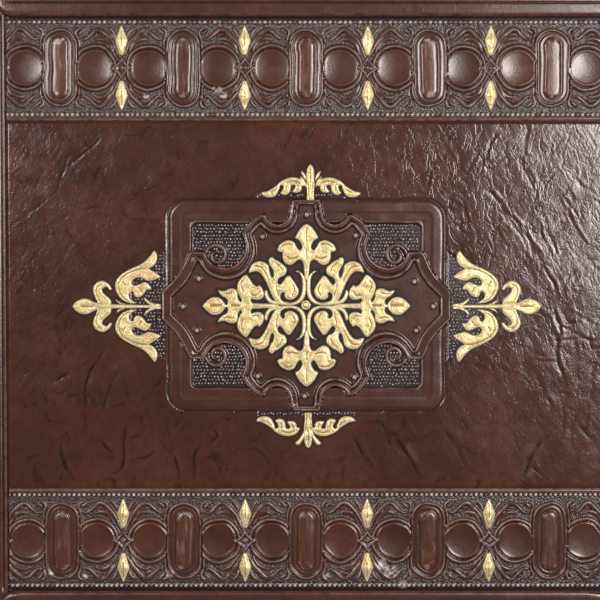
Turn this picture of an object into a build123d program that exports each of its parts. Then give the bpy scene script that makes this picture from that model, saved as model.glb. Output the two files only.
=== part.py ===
from build123d import *
import os
from math import ceil, cos, degrees, floor, radians, sin

# Covers (mm)
cover_width = 222.0
cover_height = 276.0
cover_corner = 2.5
edge_bevel = 2.0
board_thickness = 4.5
board_bevel = 1.4
leather_thickness = 1.2
turn_in_width = 15.0
paper_thickness = 0.6
paper_clearance = 0.2

# Leaves
leaf_count = 14
leaf_thickness = 3.0
leaf_gap = 0.4
leaf_gap_depth = 3.0
leaf_square = 4.0
block_clearance = 0.2

# Spine and joints
joint_radius = 1.5
joint_clearance = 0.3
spine_bulge = 6.5
spine_board_thickness = 1.6

# Heights of the embossing above or below the plain field
root_depth = 0.4
end_panel_height = 1.2
rail_height = 0.7
band_depth = 0.6
ledge_height = 0.2
frame_height = 0.6
corner_panel_depth = 0.2
strap_height = 1.3
strap_step_height = 0.7

# End panels
end_panel_margin = 2.3
end_panel_height_in_plan = 34.2
end_panel_corner = 6.8
end_panel_bevel = 0.6
end_line_inset = 4.2
end_line_width = 0.6
end_line_depth = 0.4

# Side rails
rail_inset = 5.3
rail_width = 1.1

# Ornamental bands, which lie against the end panels
band_width_in_plan = 37.0
motif_gap = 4.8
motif_end_gap = 0.15
bead_row_inset = 2.4
bead_row_width = 1.3
bead_row_height = 0.8
ledge_inset = 1.0
ledge_width = 1.5

# Dishes of the bands
dish_spacing = 24.2
dish_ring_radius = 6.9
dish_wall_taper_deg = 20.0
dish_crest_height = 1.1
dish_depth = 0.9
dish_taper_deg = 77.0

# Slots of the bands
slot_length = 27.2
slot_width = 9.6
slot_height = 1.2
slot_wall_taper_deg = 20.0
slot_recess_depth = 0.9
slot_recess_taper_deg = 45.0
slot_bar_height = 1.2
slot_bar_taper_deg = 45.0

# Stars and leaves between the dishes
star_reach = 3.4
star_waist_share = 0.36
star_height = 0.9
band_leaf_start = 4.8
band_leaf_length = 9.6
band_leaf_width = 4.4
band_leaf_eave = 0.5
band_leaf_ridge = 1.3

# Scrolled leaf that arches over each dish
scroll_reach = 8.0
scroll_rise = 13.0
scroll_height = 0.8

# Strapwork of the medallion
cartouche_width = 93.4
cartouche_height = 68.6
side_tab_height = 5.6
side_tab_projection = 1.6
end_tab_projection = 0.8
strap_width = 3.2
strap_step_width = 1.0
scroll_centre_shares = (0.607, 0.561)
strap_scroll_radius = 10.5
strap_scroll_start_deg = -20.0
strap_scroll_middle_deg = -115.0
strap_scroll_end_deg = 150.0
strap_tip_shares = (0.34, 0.816)
bay_centre_shares = (0.214, 0.949)
bay_radius = 7.5

# Cushion of the medallion, under the strapwork
medallion_corner = 6.0
medallion_bevel = 0.5
medallion_border = 7.8
panel_corner = 2.4

# Gilded ornament
gilt_height = 0.9
gilt_side_margin = 9.9
gilt_end_margin = 5.4
gilt_gap = 0.3
crown_half_width_share = 0.272
arm_half_width_share = 0.363
spray_reach_share = 0.508
spray_rise_share = 0.599
button_radius = 1.75
palmette_length = 30.8
palmette_width = 38.5
crest_width = 35.7
crest_length = 12.4

# Back cover
back_line_insets = (12.0, 16.0)
back_line_width = 0.8
back_line_depth = 0.5

# Turn of one chord on a rounded outline of the small ornament, the dishes and the straps
facet_deg = 36.0
dish_facet_deg = 18.0
strap_facet_deg = 18.0

# Run of a cut past the face that it opens
overrun = 1.0

# Outlines: shares along and across each ornament, in stretches of lines and arcs that meet at corners
crown_half_shares = [
    [(0.32, 0.0), (0.32, 0.05)],
    [(0.32, 0.05), (0.48, 0.08), (0.57, 0.17)],
    [(0.57, 0.17), (0.49, 0.51), (0.67, 1.0)],
    [(0.67, 1.0), (0.785, 0.64), (0.70, 0.26)],
    [(0.70, 0.26), (0.685, 0.17)],
    [(0.685, 0.17), (0.79, 0.32), (0.87, 0.32), (0.95, 0.16), (1.0, 0.0)],
]
arm_half_shares = [
    [(0.25, 0.0), (0.25, 0.05)],
    [(0.25, 0.05), (0.46, 0.08)],
    [(0.46, 0.08), (0.515, 0.18)],
    [(0.515, 0.18), (0.40, 0.42), (0.45, 0.82)],
    [(0.45, 0.82), (0.505, 0.76), (0.565, 1.0)],
    [(0.565, 1.0), (0.64, 0.67), (0.60, 0.22)],
    [(0.60, 0.22), (0.625, 0.16)],
    [(0.625, 0.16), (0.70, 0.50), (0.845, 0.55)],
    [(0.845, 0.55), (0.74, 0.15)],
    [(0.74, 0.15), (0.87, 0.32), (1.0, 0.0)],
]
spray_shares = [
    [(0.48, 0.05), (0.73, 0.44), (1.0, 0.66)],
    [(1.0, 0.66), (0.88, 0.86), (0.67, 0.72)],
    [(0.67, 0.72), (0.69, 0.86), (0.66, 1.0)],
    [(0.66, 1.0), (0.47, 0.79), (0.34, 0.69)],
    [(0.34, 0.69), (0.50, 0.52)],
    [(0.50, 0.52), (0.49, 0.45)],
    [(0.49, 0.45), (0.32, 0.59)],
    [(0.32, 0.59), (0.20, 0.43), (0.15, 0.27), (0.25, 0.10), (0.42, 0.13)],
    [(0.42, 0.13), (0.48, 0.05)],
]
ribbon_shares = [
    [(0.257, 0.018), (0.062, 0.09), (0.017, 0.315)],
    [(0.017, 0.315), (0.038, 0.315)],
    [(0.038, 0.315), (0.083, 0.115), (0.257, 0.048)],
    [(0.257, 0.048), (0.257, 0.018)],
]
palmette_stem_half_shares = [
    [(0.0, 0.0), (0.0, 0.045)],
    [(0.0, 0.045), (0.70, 0.055)],
    [(0.70, 0.055), (0.84, 0.15), (1.0, 0.0)],
]
palmette_leaf_shares = [
    [(0.27, 0.06), (0.47, 0.15), (0.52, 0.37), (0.44, 0.60), (0.27, 0.73)],
    [(0.27, 0.73), (0.15, 0.85), (0.075, 1.0)],
    [(0.075, 1.0), (0.055, 0.83), (0.17, 0.67)],
    [(0.17, 0.67), (0.005, 0.525)],
    [(0.005, 0.525), (0.15, 0.46)],
    [(0.15, 0.46), (0.24, 0.50), (0.31, 0.46), (0.28, 0.395), (0.19, 0.40)],
    [(0.19, 0.40), (0.115, 0.29)],
    [(0.115, 0.29), (0.20, 0.22), (0.31, 0.21)],
    [(0.31, 0.21), (0.36, 0.17), (0.33, 0.11)],
    [(0.33, 0.11), (0.27, 0.06)],
]
palmette_hook_shares = [
    [(0.57, 0.065), (0.635, 0.17), (0.665, 0.28), (0.63, 0.33), (0.58, 0.265)],
    [(0.58, 0.265), (0.655, 0.465), (0.76, 0.29)],
    [(0.76, 0.29), (0.735, 0.15), (0.67, 0.075)],
    [(0.67, 0.075), (0.57, 0.065)],
]
crest_stem_half_shares = [
    [(0.0, 0.0), (0.0, 0.07)],
    [(0.0, 0.07), (0.45, 0.05)],
    [(0.45, 0.05), (0.72, 0.085), (1.0, 0.0)],
]
crest_wing_shares = [
    [(0.37, 0.09), (0.63, 0.33), (0.50, 0.58)],
    [(0.50, 0.58), (0.30, 0.79), (0.20, 1.0)],
    [(0.20, 1.0), (0.09, 0.82), (0.17, 0.63)],
    [(0.17, 0.63), (0.12, 0.41), (0.15, 0.19)],
    [(0.15, 0.19), (0.37, 0.09)],
]
band_leaf_half_shares = [
    [(0.0, 0.0), (0.55, 1.0), (1.0, 0.0)],
]
scroll_shares = [
    [(1.0, 0.32), (0.74, 0.77), (0.17, 1.0)],
    [(0.17, 1.0), (-0.17, 0.96), (-0.35, 0.80)],
    [(-0.35, 0.80), (0.38, 0.77), (0.83, 0.35)],
    [(0.83, 0.35), (1.0, 0.32)],
]

# Levels, from the table up
cover_thickness = leather_thickness + board_thickness + paper_thickness
block_bottom = cover_thickness + block_clearance
block_height = leaf_count * leaf_thickness
block_top = block_bottom + block_height
front_bottom = block_top + block_clearance
front_field = front_bottom + cover_thickness
front_panel_top = front_field + end_panel_height
band_floor = front_field - band_depth

# Lines of the front cover
band_centre = cover_height / 2 - end_panel_margin - end_panel_height_in_plan - band_width_in_plan / 2
band_run = cover_width - 2 * rail_inset - rail_width
motif_width = dish_spacing + 2 * dish_ring_radius
motif_run = band_run - 2 * motif_end_gap
motif_repeats = floor((motif_run + motif_gap) / (motif_width + motif_gap))
band_pitch = (motif_run - motif_width) / (motif_repeats - 1)
medallion_width = cartouche_width + 2 * (strap_width - side_tab_projection)
medallion_height = cartouche_height + 2 * (strap_width - end_tab_projection)

# Hinge lines
hinge_x = -cover_width / 2 - joint_clearance - joint_radius
back_hinge_z = joint_radius
front_hinge_z = front_panel_top - joint_radius
spine_bottom = back_hinge_z + joint_radius + joint_clearance
spine_top = front_hinge_z - joint_radius - joint_clearance
spine_edge_x = hinge_x - joint_radius
spine_middle_z = (spine_bottom + spine_top) / 2


def chords(arc, facet=facet_deg):
    """Points along an arc after its start, with a chord for each facet angle or part of one."""
    count = ceil(degrees(arc.length / arc.radius) / facet)
    return [arc @ (step / count) for step in range(1, count + 1)]


def polygon(points):
    """Face inside a closed run of points."""
    return make_face(Polyline(points, close=True))


def ornament_outline(stretches, length, width):
    """Face inside a closed run of stretches, each a line or a chain of three-point arcs."""
    outline = []
    for stretch in stretches:
        points = [(along * length, across * width) for along, across in stretch]
        if len(points) == 2:
            outline.append(points[-1])
        for first in range(0, len(points) - 2, 2):
            outline += chords(ThreePointArc(*points[first : first + 3]))
    return polygon(outline)


def soft_rectangle(width, height, radius):
    """Rectangle with rounded corners."""
    x = width / 2 - radius
    y = height / 2 - radius
    points = []
    for turn, centre in ((0, (x, y)), (90, (-x, y)), (180, (-x, -y)), (270, (x, -y))):
        corner = [on_circle(centre, radius, turn + part) for part in (0, 45, 90)]
        points += [corner[0], *chords(ThreePointArc(*corner))]
    return polygon(points)


def stadium(length, width):
    """Upright outline with straight sides and round ends."""
    side = width / 2
    straight = (length - width) / 2
    head = ThreePointArc((side, straight), (0, length / 2), (-side, straight))
    tail = ThreePointArc((-side, -straight), (0, -length / 2), (side, -straight))
    return polygon([(side, straight), *chords(head), (-side, -straight), *chords(tail)])


def both_sides(half):
    """A half outline that starts and ends on its axis, with its mirror image."""
    other = [[(along, -across) for along, across in reversed(stretch)] for stretch in reversed(half)]
    return half + other


def raised(face, foot, height):
    """The prism of a face from one level up by a height."""
    return Pos(0, 0, foot) * extrude(face, height)


def embossed(face, foot, height):
    """A raised prism that is rooted in the leather below its foot."""
    return raised(face, foot - root_depth, height + root_depth)


def ends(shape):
    """A shape and its copy at the other end of the cover."""
    return [shape, mirror(shape, Plane.XZ)]


def sides(shape):
    """A shape and its copy on the other side of the cover."""
    return [shape, mirror(shape, Plane.YZ)]


def quarters(shape):
    """A shape and its copies in the other three quarters of the cover."""
    return [copy for side in sides(shape) for copy in ends(side)]


def on_circle(centre, radius, angle_deg):
    """The point of a circle at an angle."""
    angle = radians(angle_deg)
    return (centre[0] + radius * cos(angle), centre[1] + radius * sin(angle))


def box_between(x, y, z):
    """Box between pairs of limits."""
    box = Box(x[1] - x[0], y[1] - y[0], z[1] - z[0])
    return Pos((x[0] + x[1]) / 2, (y[0] + y[1]) / 2, (z[0] + z[1]) / 2) * box


# Covers, made with the lining down and the outer face up
def cover_board():
    """Bevelled board, let into the leather."""
    outline = Rectangle(cover_width - 2 * leather_thickness, cover_height - 2 * leather_thickness)
    board = raised(outline, paper_thickness, board_thickness)
    return chamfer(board.faces().sort_by(Axis.Z)[-1].edges(), board_bevel)


def lining_window(clearance):
    """Opening between the turn-ins, made smaller by a clearance."""
    margin = 2 * (turn_in_width + clearance)
    return Rectangle(cover_width - margin, cover_height - margin)


def cover_leather():
    """Plain leather around a board, with its turn-ins."""
    leather = extrude(soft_rectangle(cover_width, cover_height, cover_corner), cover_thickness)
    leather = chamfer(leather.faces().sort_by(Axis.Z)[-1].edges(), edge_bevel)
    window = raised(lining_window(0), -overrun, paper_thickness + overrun)
    return leather - [cover_board(), window]


def cover_lining():
    """Paper that fills the window between the turn-ins."""
    return extrude(lining_window(paper_clearance), paper_thickness)


def to_front(shape):
    """A cover's piece, lifted to the front of the block."""
    return Pos(0, 0, front_bottom) * shape


def to_back(shape):
    """A cover's piece, turned face down at the back of the block."""
    return Pos(0, 0, cover_thickness) * Rot(0, 180, 0) * shape


# End panels and rails of the front
def end_panels():
    """Smooth raised panels at the head and the tail."""
    width = cover_width - 2 * end_panel_margin
    centre = cover_height / 2 - end_panel_margin - end_panel_height_in_plan / 2
    outline = soft_rectangle(width, end_panel_height_in_plan, end_panel_corner)
    panel = embossed(outline, front_field, end_panel_height)
    panel = chamfer(panel.faces().sort_by(Axis.Z)[-1].edges(), end_panel_bevel)
    line_width = width - 2 * end_line_inset
    line_height = end_panel_height_in_plan - 2 * end_line_inset
    line = Rectangle(line_width, line_height)
    line -= Rectangle(line_width - 2 * end_line_width, line_height - 2 * end_line_width)
    panel -= raised(line, front_panel_top - end_line_depth, end_line_depth + overrun)
    return ends(Pos(0, centre, 0) * panel)


def side_rails():
    """Thin rails along the sides, between the end panels."""
    length = cover_height - 2 * (end_panel_margin + end_panel_height_in_plan)
    rail = embossed(Rectangle(rail_width, length), front_field, rail_height)
    return sides(Pos(cover_width / 2 - rail_inset, 0, 0) * rail)


# Ornamental bands
def band_pockets():
    """Sunk grounds of the two bands."""
    pocket = raised(Rectangle(band_run, band_width_in_plan), band_floor, band_depth + overrun)
    return ends(Pos(0, band_centre, 0) * pocket)


def band_borders():
    """Ridges for the bead rows, and the smooth ledge on the field side."""
    ridge = embossed(Rectangle(band_run, bead_row_width), band_floor, bead_row_height)
    ledge = embossed(Rectangle(band_run, ledge_width), band_floor, band_depth + ledge_height)
    ridge = Pos(0, band_width_in_plan / 2 - bead_row_inset, 0) * ridge
    return [*ends(ridge), Pos(0, ledge_inset - band_width_in_plan / 2, 0) * ledge]


def disc(radius):
    """Round outline in chords."""
    circle = CenterArc((0, 0), radius, 0, 360)
    return polygon(chords(circle, dish_facet_deg))


def tapered_boss(face, height, taper):
    """Raised form with sloping walls, rooted below the ground of the band."""
    return Pos(0, 0, -root_depth) * extrude(face, height + root_depth, taper=taper)


def sunk_from(boss, depth, taper):
    """Tool for a hollow with sloping walls, from the whole top of a boss down."""
    top = boss.faces().sort_by(Axis.Z)[-1]
    return mirror(extrude(top, depth, taper=taper), Plane.XY.offset(top.center().Z))


def dish():
    """Round boss with a sharp crest around a concave dish."""
    boss = tapered_boss(disc(dish_ring_radius), dish_crest_height, dish_wall_taper_deg)
    return Pos(0, 0, band_floor) * (boss - sunk_from(boss, dish_depth, dish_taper_deg))


def slot():
    """Upright frame around a recess, with a convex bar in it."""
    frame = tapered_boss(stadium(slot_length, slot_width), slot_height, slot_wall_taper_deg)
    recess = sunk_from(frame, slot_recess_depth, slot_recess_taper_deg)
    floor = recess.faces().sort_by(Axis.Z)[0]
    bar = extrude(floor, slot_bar_height, taper=slot_bar_taper_deg)
    bar = mirror(bar, Plane.XY.offset(floor.center().Z))
    return Pos(0, 0, band_floor) * (frame - recess + bar)


def star():
    """Four-pointed star with hollow sides."""
    waist = star_reach * star_waist_share
    tips = [(star_reach, 0), (0, star_reach), (-star_reach, 0), (0, -star_reach)]
    waists = [(waist, waist), (-waist, waist), (-waist, -waist), (waist, -waist)]
    points = [point for pair in zip(tips, waists) for point in pair]
    return embossed(polygon(points), band_floor, star_height)


def scroll():
    """Scrolled leaf over a dish."""
    outline = ornament_outline(scroll_shares, scroll_reach, scroll_rise)
    return embossed(outline, band_floor, scroll_height)


def motif_places():
    """Middles of the repeated motifs along a band."""
    return [band_pitch * (place - (motif_repeats - 1) / 2) for place in range(motif_repeats)]


def gap_places():
    """Middles of the gaps between neighbouring motifs."""
    return [place + band_pitch / 2 for place in motif_places()[:-1]]


def band_ornament():
    """Embossed ornament of one band, about its own middle."""
    arch = Pos(dish_spacing / 2, 0, 0) * scroll()
    boss = Pos(dish_spacing / 2, 0, 0) * dish()
    motif = [*sides(boss), slot(), *quarters(arch)]
    pieces = [Pos(place, 0, 0) * piece for place in motif_places() for piece in motif]
    pieces += [Pos(place, 0, 0) * star() for place in gap_places()]
    return pieces + band_borders()


def band_leaf():
    """Gilded leaf with a roof-shaped top."""
    half_width = band_leaf_width / 2
    outline = ornament_outline(both_sides(band_leaf_half_shares), band_leaf_length, half_width)
    leaf = extrude(outline, band_leaf_ridge)
    section = [
        (-half_width, 0),
        (half_width, 0),
        (half_width, band_leaf_eave),
        (0, band_leaf_ridge),
        (-half_width, band_leaf_eave),
    ]
    roof = extrude(Plane.YZ * polygon(section), band_leaf_length)
    return Pos(0, band_leaf_start, band_floor) * Rot(0, 0, 90) * (leaf & roof)


def band_gilding():
    """Gilded leaves of one band, about its own middle."""
    return [Pos(place, 0, 0) * leaf for place in gap_places() for leaf in ends(band_leaf())]


# Medallion
def cartouche(grown):
    """Space inside the strapwork, grown all round, from one quarter mirrored both ways."""
    half_width = cartouche_width / 2
    half_height = cartouche_height / 2
    scroll_centre = (half_width * scroll_centre_shares[0], half_height * scroll_centre_shares[1])
    bay_centre = (half_width * bay_centre_shares[0], half_height * bay_centre_shares[1])
    scroll_radius = strap_scroll_radius - grown
    scroll_start = on_circle(scroll_centre, scroll_radius, strap_scroll_start_deg)
    scroll_middle = on_circle(scroll_centre, scroll_radius, strap_scroll_middle_deg)
    scroll_end = on_circle(scroll_centre, scroll_radius, strap_scroll_end_deg)
    elbow = on_circle(scroll_centre, strap_scroll_radius + grown, strap_scroll_start_deg)
    elbow = (elbow[0], elbow[1] + grown)
    shoulder = (half_width + grown, (side_tab_height + grown) / 2)
    tip = (half_width * strap_tip_shares[0], half_height * strap_tip_shares[1] + grown)
    bay_middle = (bay_centre[0], bay_centre[1] - bay_radius + grown)
    bay_end = (bay_centre[0] - bay_radius + grown, bay_centre[1])
    tab = (bay_end[0], half_height + grown)
    bends = [shoulder, elbow, scroll_start] if grown else [shoulder, scroll_start]
    scroll_arc = ThreePointArc(scroll_start, scroll_middle, scroll_end)
    bay_arc = ThreePointArc(tip, bay_middle, bay_end)
    scroll_run = chords(scroll_arc, strap_facet_deg)
    bay_run = chords(bay_arc, strap_facet_deg)
    face = polygon([(0, 0), (shoulder[0], 0), *bends, *scroll_run, tip, *bay_run, tab, (0, tab[1])])
    half = face + mirror(face, Plane.YZ)
    return half + mirror(half, Plane.XZ)


def medallion(leather):
    """Cushion frame, sunk corner panels, and a double strap around the cartouche."""
    cushion = soft_rectangle(medallion_width, medallion_height, medallion_corner)
    frame = embossed(cushion, front_field, frame_height)
    frame = chamfer(frame.faces().sort_by(Axis.Z)[-1].edges(), medallion_bevel)
    panel = soft_rectangle(
        medallion_width - 2 * medallion_border,
        medallion_height - 2 * medallion_border,
        panel_corner,
    )
    sunk = raised(panel, front_field - corner_panel_depth, corner_panel_depth + frame_height + overrun)
    floor = raised(cartouche(0), front_field, strap_height + overrun)
    shelf = raised(cartouche(strap_step_width), front_field + strap_step_height, strap_height + overrun)
    leather = leather + frame
    leather = leather - sunk
    leather = leather + embossed(cartouche(strap_width), front_field, strap_height)
    return leather - [shelf, floor]


def front_leather():
    """Embossed leather of the front cover."""
    leather = to_front(cover_leather()) - band_pockets()
    ornament = [Pos(0, band_centre, 0) * piece for piece in band_ornament()]
    both_bands = [copy for piece in ornament for copy in ends(piece)]
    leather = leather + (both_bands + end_panels() + side_rails())
    return medallion(leather)


# Gilded relief
def rosette():
    """Gilded plants that grow from a button in the middle of the cartouche."""
    reach = cartouche_width / 2 - gilt_side_margin
    rise = cartouche_height / 2 - gilt_end_margin
    crown = ornament_outline(both_sides(crown_half_shares), rise, reach * crown_half_width_share)
    arm = ornament_outline(both_sides(arm_half_shares), reach, rise * arm_half_width_share)
    spray = ornament_outline(spray_shares, reach * spray_reach_share, rise * spray_rise_share)
    ribbon = ornament_outline(ribbon_shares, reach, rise)
    pieces = [*ends(Rot(0, 0, 90) * crown), *sides(arm), *quarters(spray + ribbon), Circle(button_radius)]
    return [raised(piece, front_field, gilt_height) for piece in pieces]


def palmettes():
    """Gilded plants beside the medallion."""
    width = palmette_width / 2
    stem = ornament_outline(both_sides(palmette_stem_half_shares), palmette_length, width)
    leaf = ornament_outline(palmette_leaf_shares, palmette_length, width)
    hook = ornament_outline(palmette_hook_shares, palmette_length, width)
    foot = cartouche_width / 2 + strap_width + gilt_gap
    plant = [raised(piece, front_field, gilt_height) for piece in (stem, *ends(leaf), *ends(hook))]
    return [copy for piece in plant for copy in sides(Pos(foot, 0, 0) * piece)]


def crests():
    """Gilded plants above and below the medallion."""
    width = crest_width / 2
    stem = ornament_outline(both_sides(crest_stem_half_shares), crest_length, width)
    wing = ornament_outline(crest_wing_shares, crest_length, width)
    foot = cartouche_height / 2 + strap_width + gilt_gap
    plant = [raised(piece, front_field, gilt_height) for piece in (stem, *ends(wing))]
    return [copy for piece in plant for copy in ends(Pos(0, foot, 0) * Rot(0, 0, 90) * piece)]


def front_gilding():
    """All the gilded relief of the front cover."""
    leaves = [Pos(0, band_centre, 0) * leaf for leaf in band_gilding()]
    leaves = [copy for leaf in leaves for copy in ends(leaf)]
    return Compound(children=rosette() + palmettes() + crests() + leaves)


# Back
def back_leather():
    """Leather of the back cover, with blind-tooled lines."""
    leather = cover_leather()
    for inset in back_line_insets:
        line = Rectangle(cover_width - 2 * inset, cover_height - 2 * inset)
        inner = inset + back_line_width
        line -= Rectangle(cover_width - 2 * inner, cover_height - 2 * inner)
        leather -= raised(line, cover_thickness - back_line_depth, back_line_depth + overrun)
    return to_back(leather)


# Spine and leaves, as sections in the plane across the spine
def spine_radius():
    """Radius of the rounded back of the spine leather."""
    half_chord = (spine_top - spine_bottom) / 2
    return (half_chord**2 + spine_bulge**2) / (2 * spine_bulge)


def back_disc(radius):
    """Disc about the line that the rounded back turns about, seen along the spine."""
    return Pos(spine_edge_x - spine_bulge + spine_radius(), spine_middle_z) * Circle(radius)


def section_between(x, z):
    """Rectangle of a section between pairs of limits."""
    middle = Pos((x[0] + x[1]) / 2, (z[0] + z[1]) / 2)
    return middle * Rectangle(x[1] - x[0], z[1] - z[0])


def along_spine(section, length):
    """A section drawn out along the spine, about its middle."""
    return extrude(Plane.XZ * section, length / 2, both=True)


def spine_section(outer, inner, bottom, top):
    """Curved strip of the spine between two radii and two levels."""
    far_x = spine_edge_x - spine_bulge - overrun
    near_x = hinge_x + joint_radius
    ring = back_disc(outer) - back_disc(inner)
    return ring & section_between((far_x, near_x), (bottom, top))


def joint_section(hinge_z, edge_z):
    """Rolled joint about a hinge line, with the neck that ties it to the spine."""
    roll = Pos(hinge_x, hinge_z) * Circle(joint_radius)
    neck = section_between(
        (hinge_x - joint_radius, hinge_x + joint_radius),
        (min(hinge_z, edge_z), max(hinge_z, edge_z)),
    )
    return roll + neck


def spine_leather():
    """Rounded leather back with a rolled joint at each cover."""
    radius = spine_radius()
    inner = radius - leather_thickness
    section = spine_section(radius, inner, spine_bottom, spine_top)
    section += joint_section(back_hinge_z, spine_bottom + leather_thickness)
    section += joint_section(front_hinge_z, spine_top - leather_thickness)
    return along_spine(section, cover_height)


def spine_board():
    """Stiff strip under the spine leather."""
    outer = spine_radius() - leather_thickness
    bottom = spine_bottom + leather_thickness
    top = spine_top - leather_thickness
    section = spine_section(outer, outer - spine_board_thickness, bottom, top)
    return along_spine(section, cover_height - 2 * leaf_square)


def page_block():
    """Leaves with open edges on three sides, joined at the rounded back."""
    back = spine_radius() - leather_thickness - spine_board_thickness
    fore_edge = cover_width / 2 - leaf_square
    length = cover_height - 2 * leaf_square
    z = (block_bottom, block_top)
    section = back_disc(back) + section_between((hinge_x + joint_radius, fore_edge), z)
    section &= section_between((spine_edge_x - spine_bulge, fore_edge), z)
    block = along_spine(section, length)
    whole_x = (leaf_square - cover_width / 2, fore_edge + overrun)
    whole_y = (-length / 2, length / 2)
    fore_x = (fore_edge - leaf_gap_depth, fore_edge + overrun)
    head_y = (length / 2 - leaf_gap_depth, length / 2 + overrun)
    gaps = []
    for leaf in range(1, leaf_count):
        middle = block_bottom + leaf * leaf_thickness
        z = (middle - leaf_gap / 2, middle + leaf_gap / 2)
        gaps += [box_between(fore_x, whole_y, z), *ends(box_between(whole_x, head_y, z))]
    return block - gaps


nodes = {
    "page_block": page_block,
    "spine_board": spine_board,
    "spine_leather": spine_leather,
    "front_board": lambda: to_front(cover_board()),
    "front_leather": front_leather,
    "front_gilding": front_gilding,
    "front_pastedown": lambda: to_front(cover_lining()),
    "back_board": lambda: to_back(cover_board()),
    "back_leather": back_leather,
    "back_pastedown": lambda: to_back(cover_lining()),
}

os.makedirs("parts", exist_ok=True)
for node, make in nodes.items():
    export_step(make(), f"parts/{node}.step")
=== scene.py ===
from math import cos, pi, radians, sin

import bpy
import numpy as np
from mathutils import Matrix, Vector
from mathutils.geometry import delaunay_2d_cdt


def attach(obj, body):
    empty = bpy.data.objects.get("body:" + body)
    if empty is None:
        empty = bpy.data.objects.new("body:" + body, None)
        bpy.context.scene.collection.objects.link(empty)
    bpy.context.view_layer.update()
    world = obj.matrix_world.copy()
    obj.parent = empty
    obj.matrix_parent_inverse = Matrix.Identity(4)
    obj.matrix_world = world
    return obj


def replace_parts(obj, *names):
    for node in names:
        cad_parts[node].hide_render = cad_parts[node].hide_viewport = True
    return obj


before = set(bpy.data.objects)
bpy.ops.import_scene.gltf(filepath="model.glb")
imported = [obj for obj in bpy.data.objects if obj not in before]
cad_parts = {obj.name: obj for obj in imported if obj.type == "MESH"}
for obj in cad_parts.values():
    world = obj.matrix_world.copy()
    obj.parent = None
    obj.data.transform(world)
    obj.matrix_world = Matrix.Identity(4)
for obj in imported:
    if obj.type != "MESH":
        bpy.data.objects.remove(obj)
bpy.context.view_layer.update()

# Cover, in millimetres, as in the solids
mm = 0.001
cover_x, cover_y = 111.0, 138.0
cover_corner = 2.5
edge_round = 2.0
cover_thickness = 6.3
board_side, board_top, board_foot = 1.2, 5.1, 0.6
turn_in = 15.0
front_bottom = 48.7
field = front_bottom + cover_thickness
slab_foot = 54.0

# Layout of the front, from its middle; a box is half its width, half its height and its corner
panel_x, panel_inner, panel_outer = 108.7, 100.7, 135.7
panel_corner = 6.8
rail_x, rail_half = 105.7, 0.75
tile_x = 105.1
medallion_box = (48.3, 36.9, 6.6)
sunk_box, sunk_floor = (40.9, 29.6, 2.6), -0.30
recess_x, recess_y = 51.6, 39.6

# Bands, from the middle of each, with the first seed of the noise in each
band_middle, band_half = 83.0, 18.5
band_floor = -0.60
head_seed, tail_seed = 31, 51
pitch = 43.0
dish_at, dish_radius = 12.1, 8.4
star_at, star_x, star_y, star_bend = pitch / 2, 4.2, 4.3, 0.72
slot_half_length, slot_half_width = 13.7, 6.2
bead_pitch, bead_radius = 1.75, 0.61
bead_rows = (-16.2, 15.9)
ledge_at, ledge_half, gutter_at = -17.55, 0.85, 17.0

# Gilding: spacing of its points, height of its upright walls, its foot below the leather, and the
# distance from a tooled line that counts as none
gilt_spacing, gilt_wall, gilt_root, no_vein = 0.36, 0.12, 0.35, 3.0

# One pixel of the photograph on the cover, and the pixel of the ornament's middle
pixel = 0.35
middle_u, middle_v = 305.5, 305.0
very_far = 1e6


def on_cover(points):
    """Points read from the photograph, as places on the cover."""
    return [((u - middle_u) * pixel, (middle_v - v) * pixel) for u, v in points]


def offsets(points):
    """Points read as distances in pixels from the ornament's middle."""
    return [(u * pixel, v * pixel) for u, v in points]


# Curves
def smooth_run(points, step):
    """Points along a smooth curve through some points."""
    if len(points) == 2:
        points = [points[0], tuple((a + b) / 2 for a, b in zip(*points)), points[1]]
    p = np.array(points, float)
    p = np.vstack([2 * p[0] - p[1], p, 2 * p[-1] - p[-2]])
    run = []
    for a, b, c, d in zip(p, p[1:], p[2:], p[3:]):
        count = max(2, int(np.hypot(*(c - b)) / step))
        t = (np.arange(count) / count)[:, None]
        run.append(0.5 * (2 * b + (c - a) * t + (2 * a - 5 * b + 4 * c - d) * t**2
                          + (3 * b - a - 3 * c + d) * t**3))
    run.append(p[-2][None])
    return np.vstack(run)


def closed_run(stretches, step):
    """Closed outline from smooth stretches that meet at corners."""
    return np.vstack([smooth_run(stretch, step)[:-1] for stretch in stretches])


def arc(centre, radius, start_deg, end_deg, steps=28):
    """Points along a part of a circle."""
    angles = np.radians(np.linspace(start_deg, end_deg, steps))
    return [(centre[0] + radius * cos(a), centre[1] + radius * sin(a)) for a in angles]


# Measures on arrays of places
def ease(low, high, value):
    """Smooth step from 0 at low to 1 at high."""
    t = np.clip((value - low) / (high - low), 0, 1)
    return t * t * (3 - 2 * t)


def noise(x, y, size, seed):
    """Smooth random hills of about a size, from -1 to 1."""
    across, up = 61, 67
    lattice = np.random.default_rng(seed).random((across, up)) * 2 - 1
    u, v = x / size, y / size
    i, j = np.floor(u).astype(int), np.floor(v).astype(int)
    s, t = u - i, v - j
    s, t = s * s * (3 - 2 * s), t * t * (3 - 2 * t)
    i, j, i_next, j_next = i % across, j % up, (i + 1) % across, (j + 1) % up
    low = lattice[i, j] * (1 - s) + lattice[i_next, j] * s
    high = lattice[i, j_next] * (1 - s) + lattice[i_next, j_next] * s
    return low * (1 - t) + high * t


def from_segment(x, y, a, b):
    """Steps to each place from the nearest point of a segment."""
    dx, dy = b - a
    t = np.clip(((x - a[0]) * dx + (y - a[1]) * dy) / (dx * dx + dy * dy + 1e-12), 0, 1)
    return x - a[0] - t * dx, y - a[1] - t * dy


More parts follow.
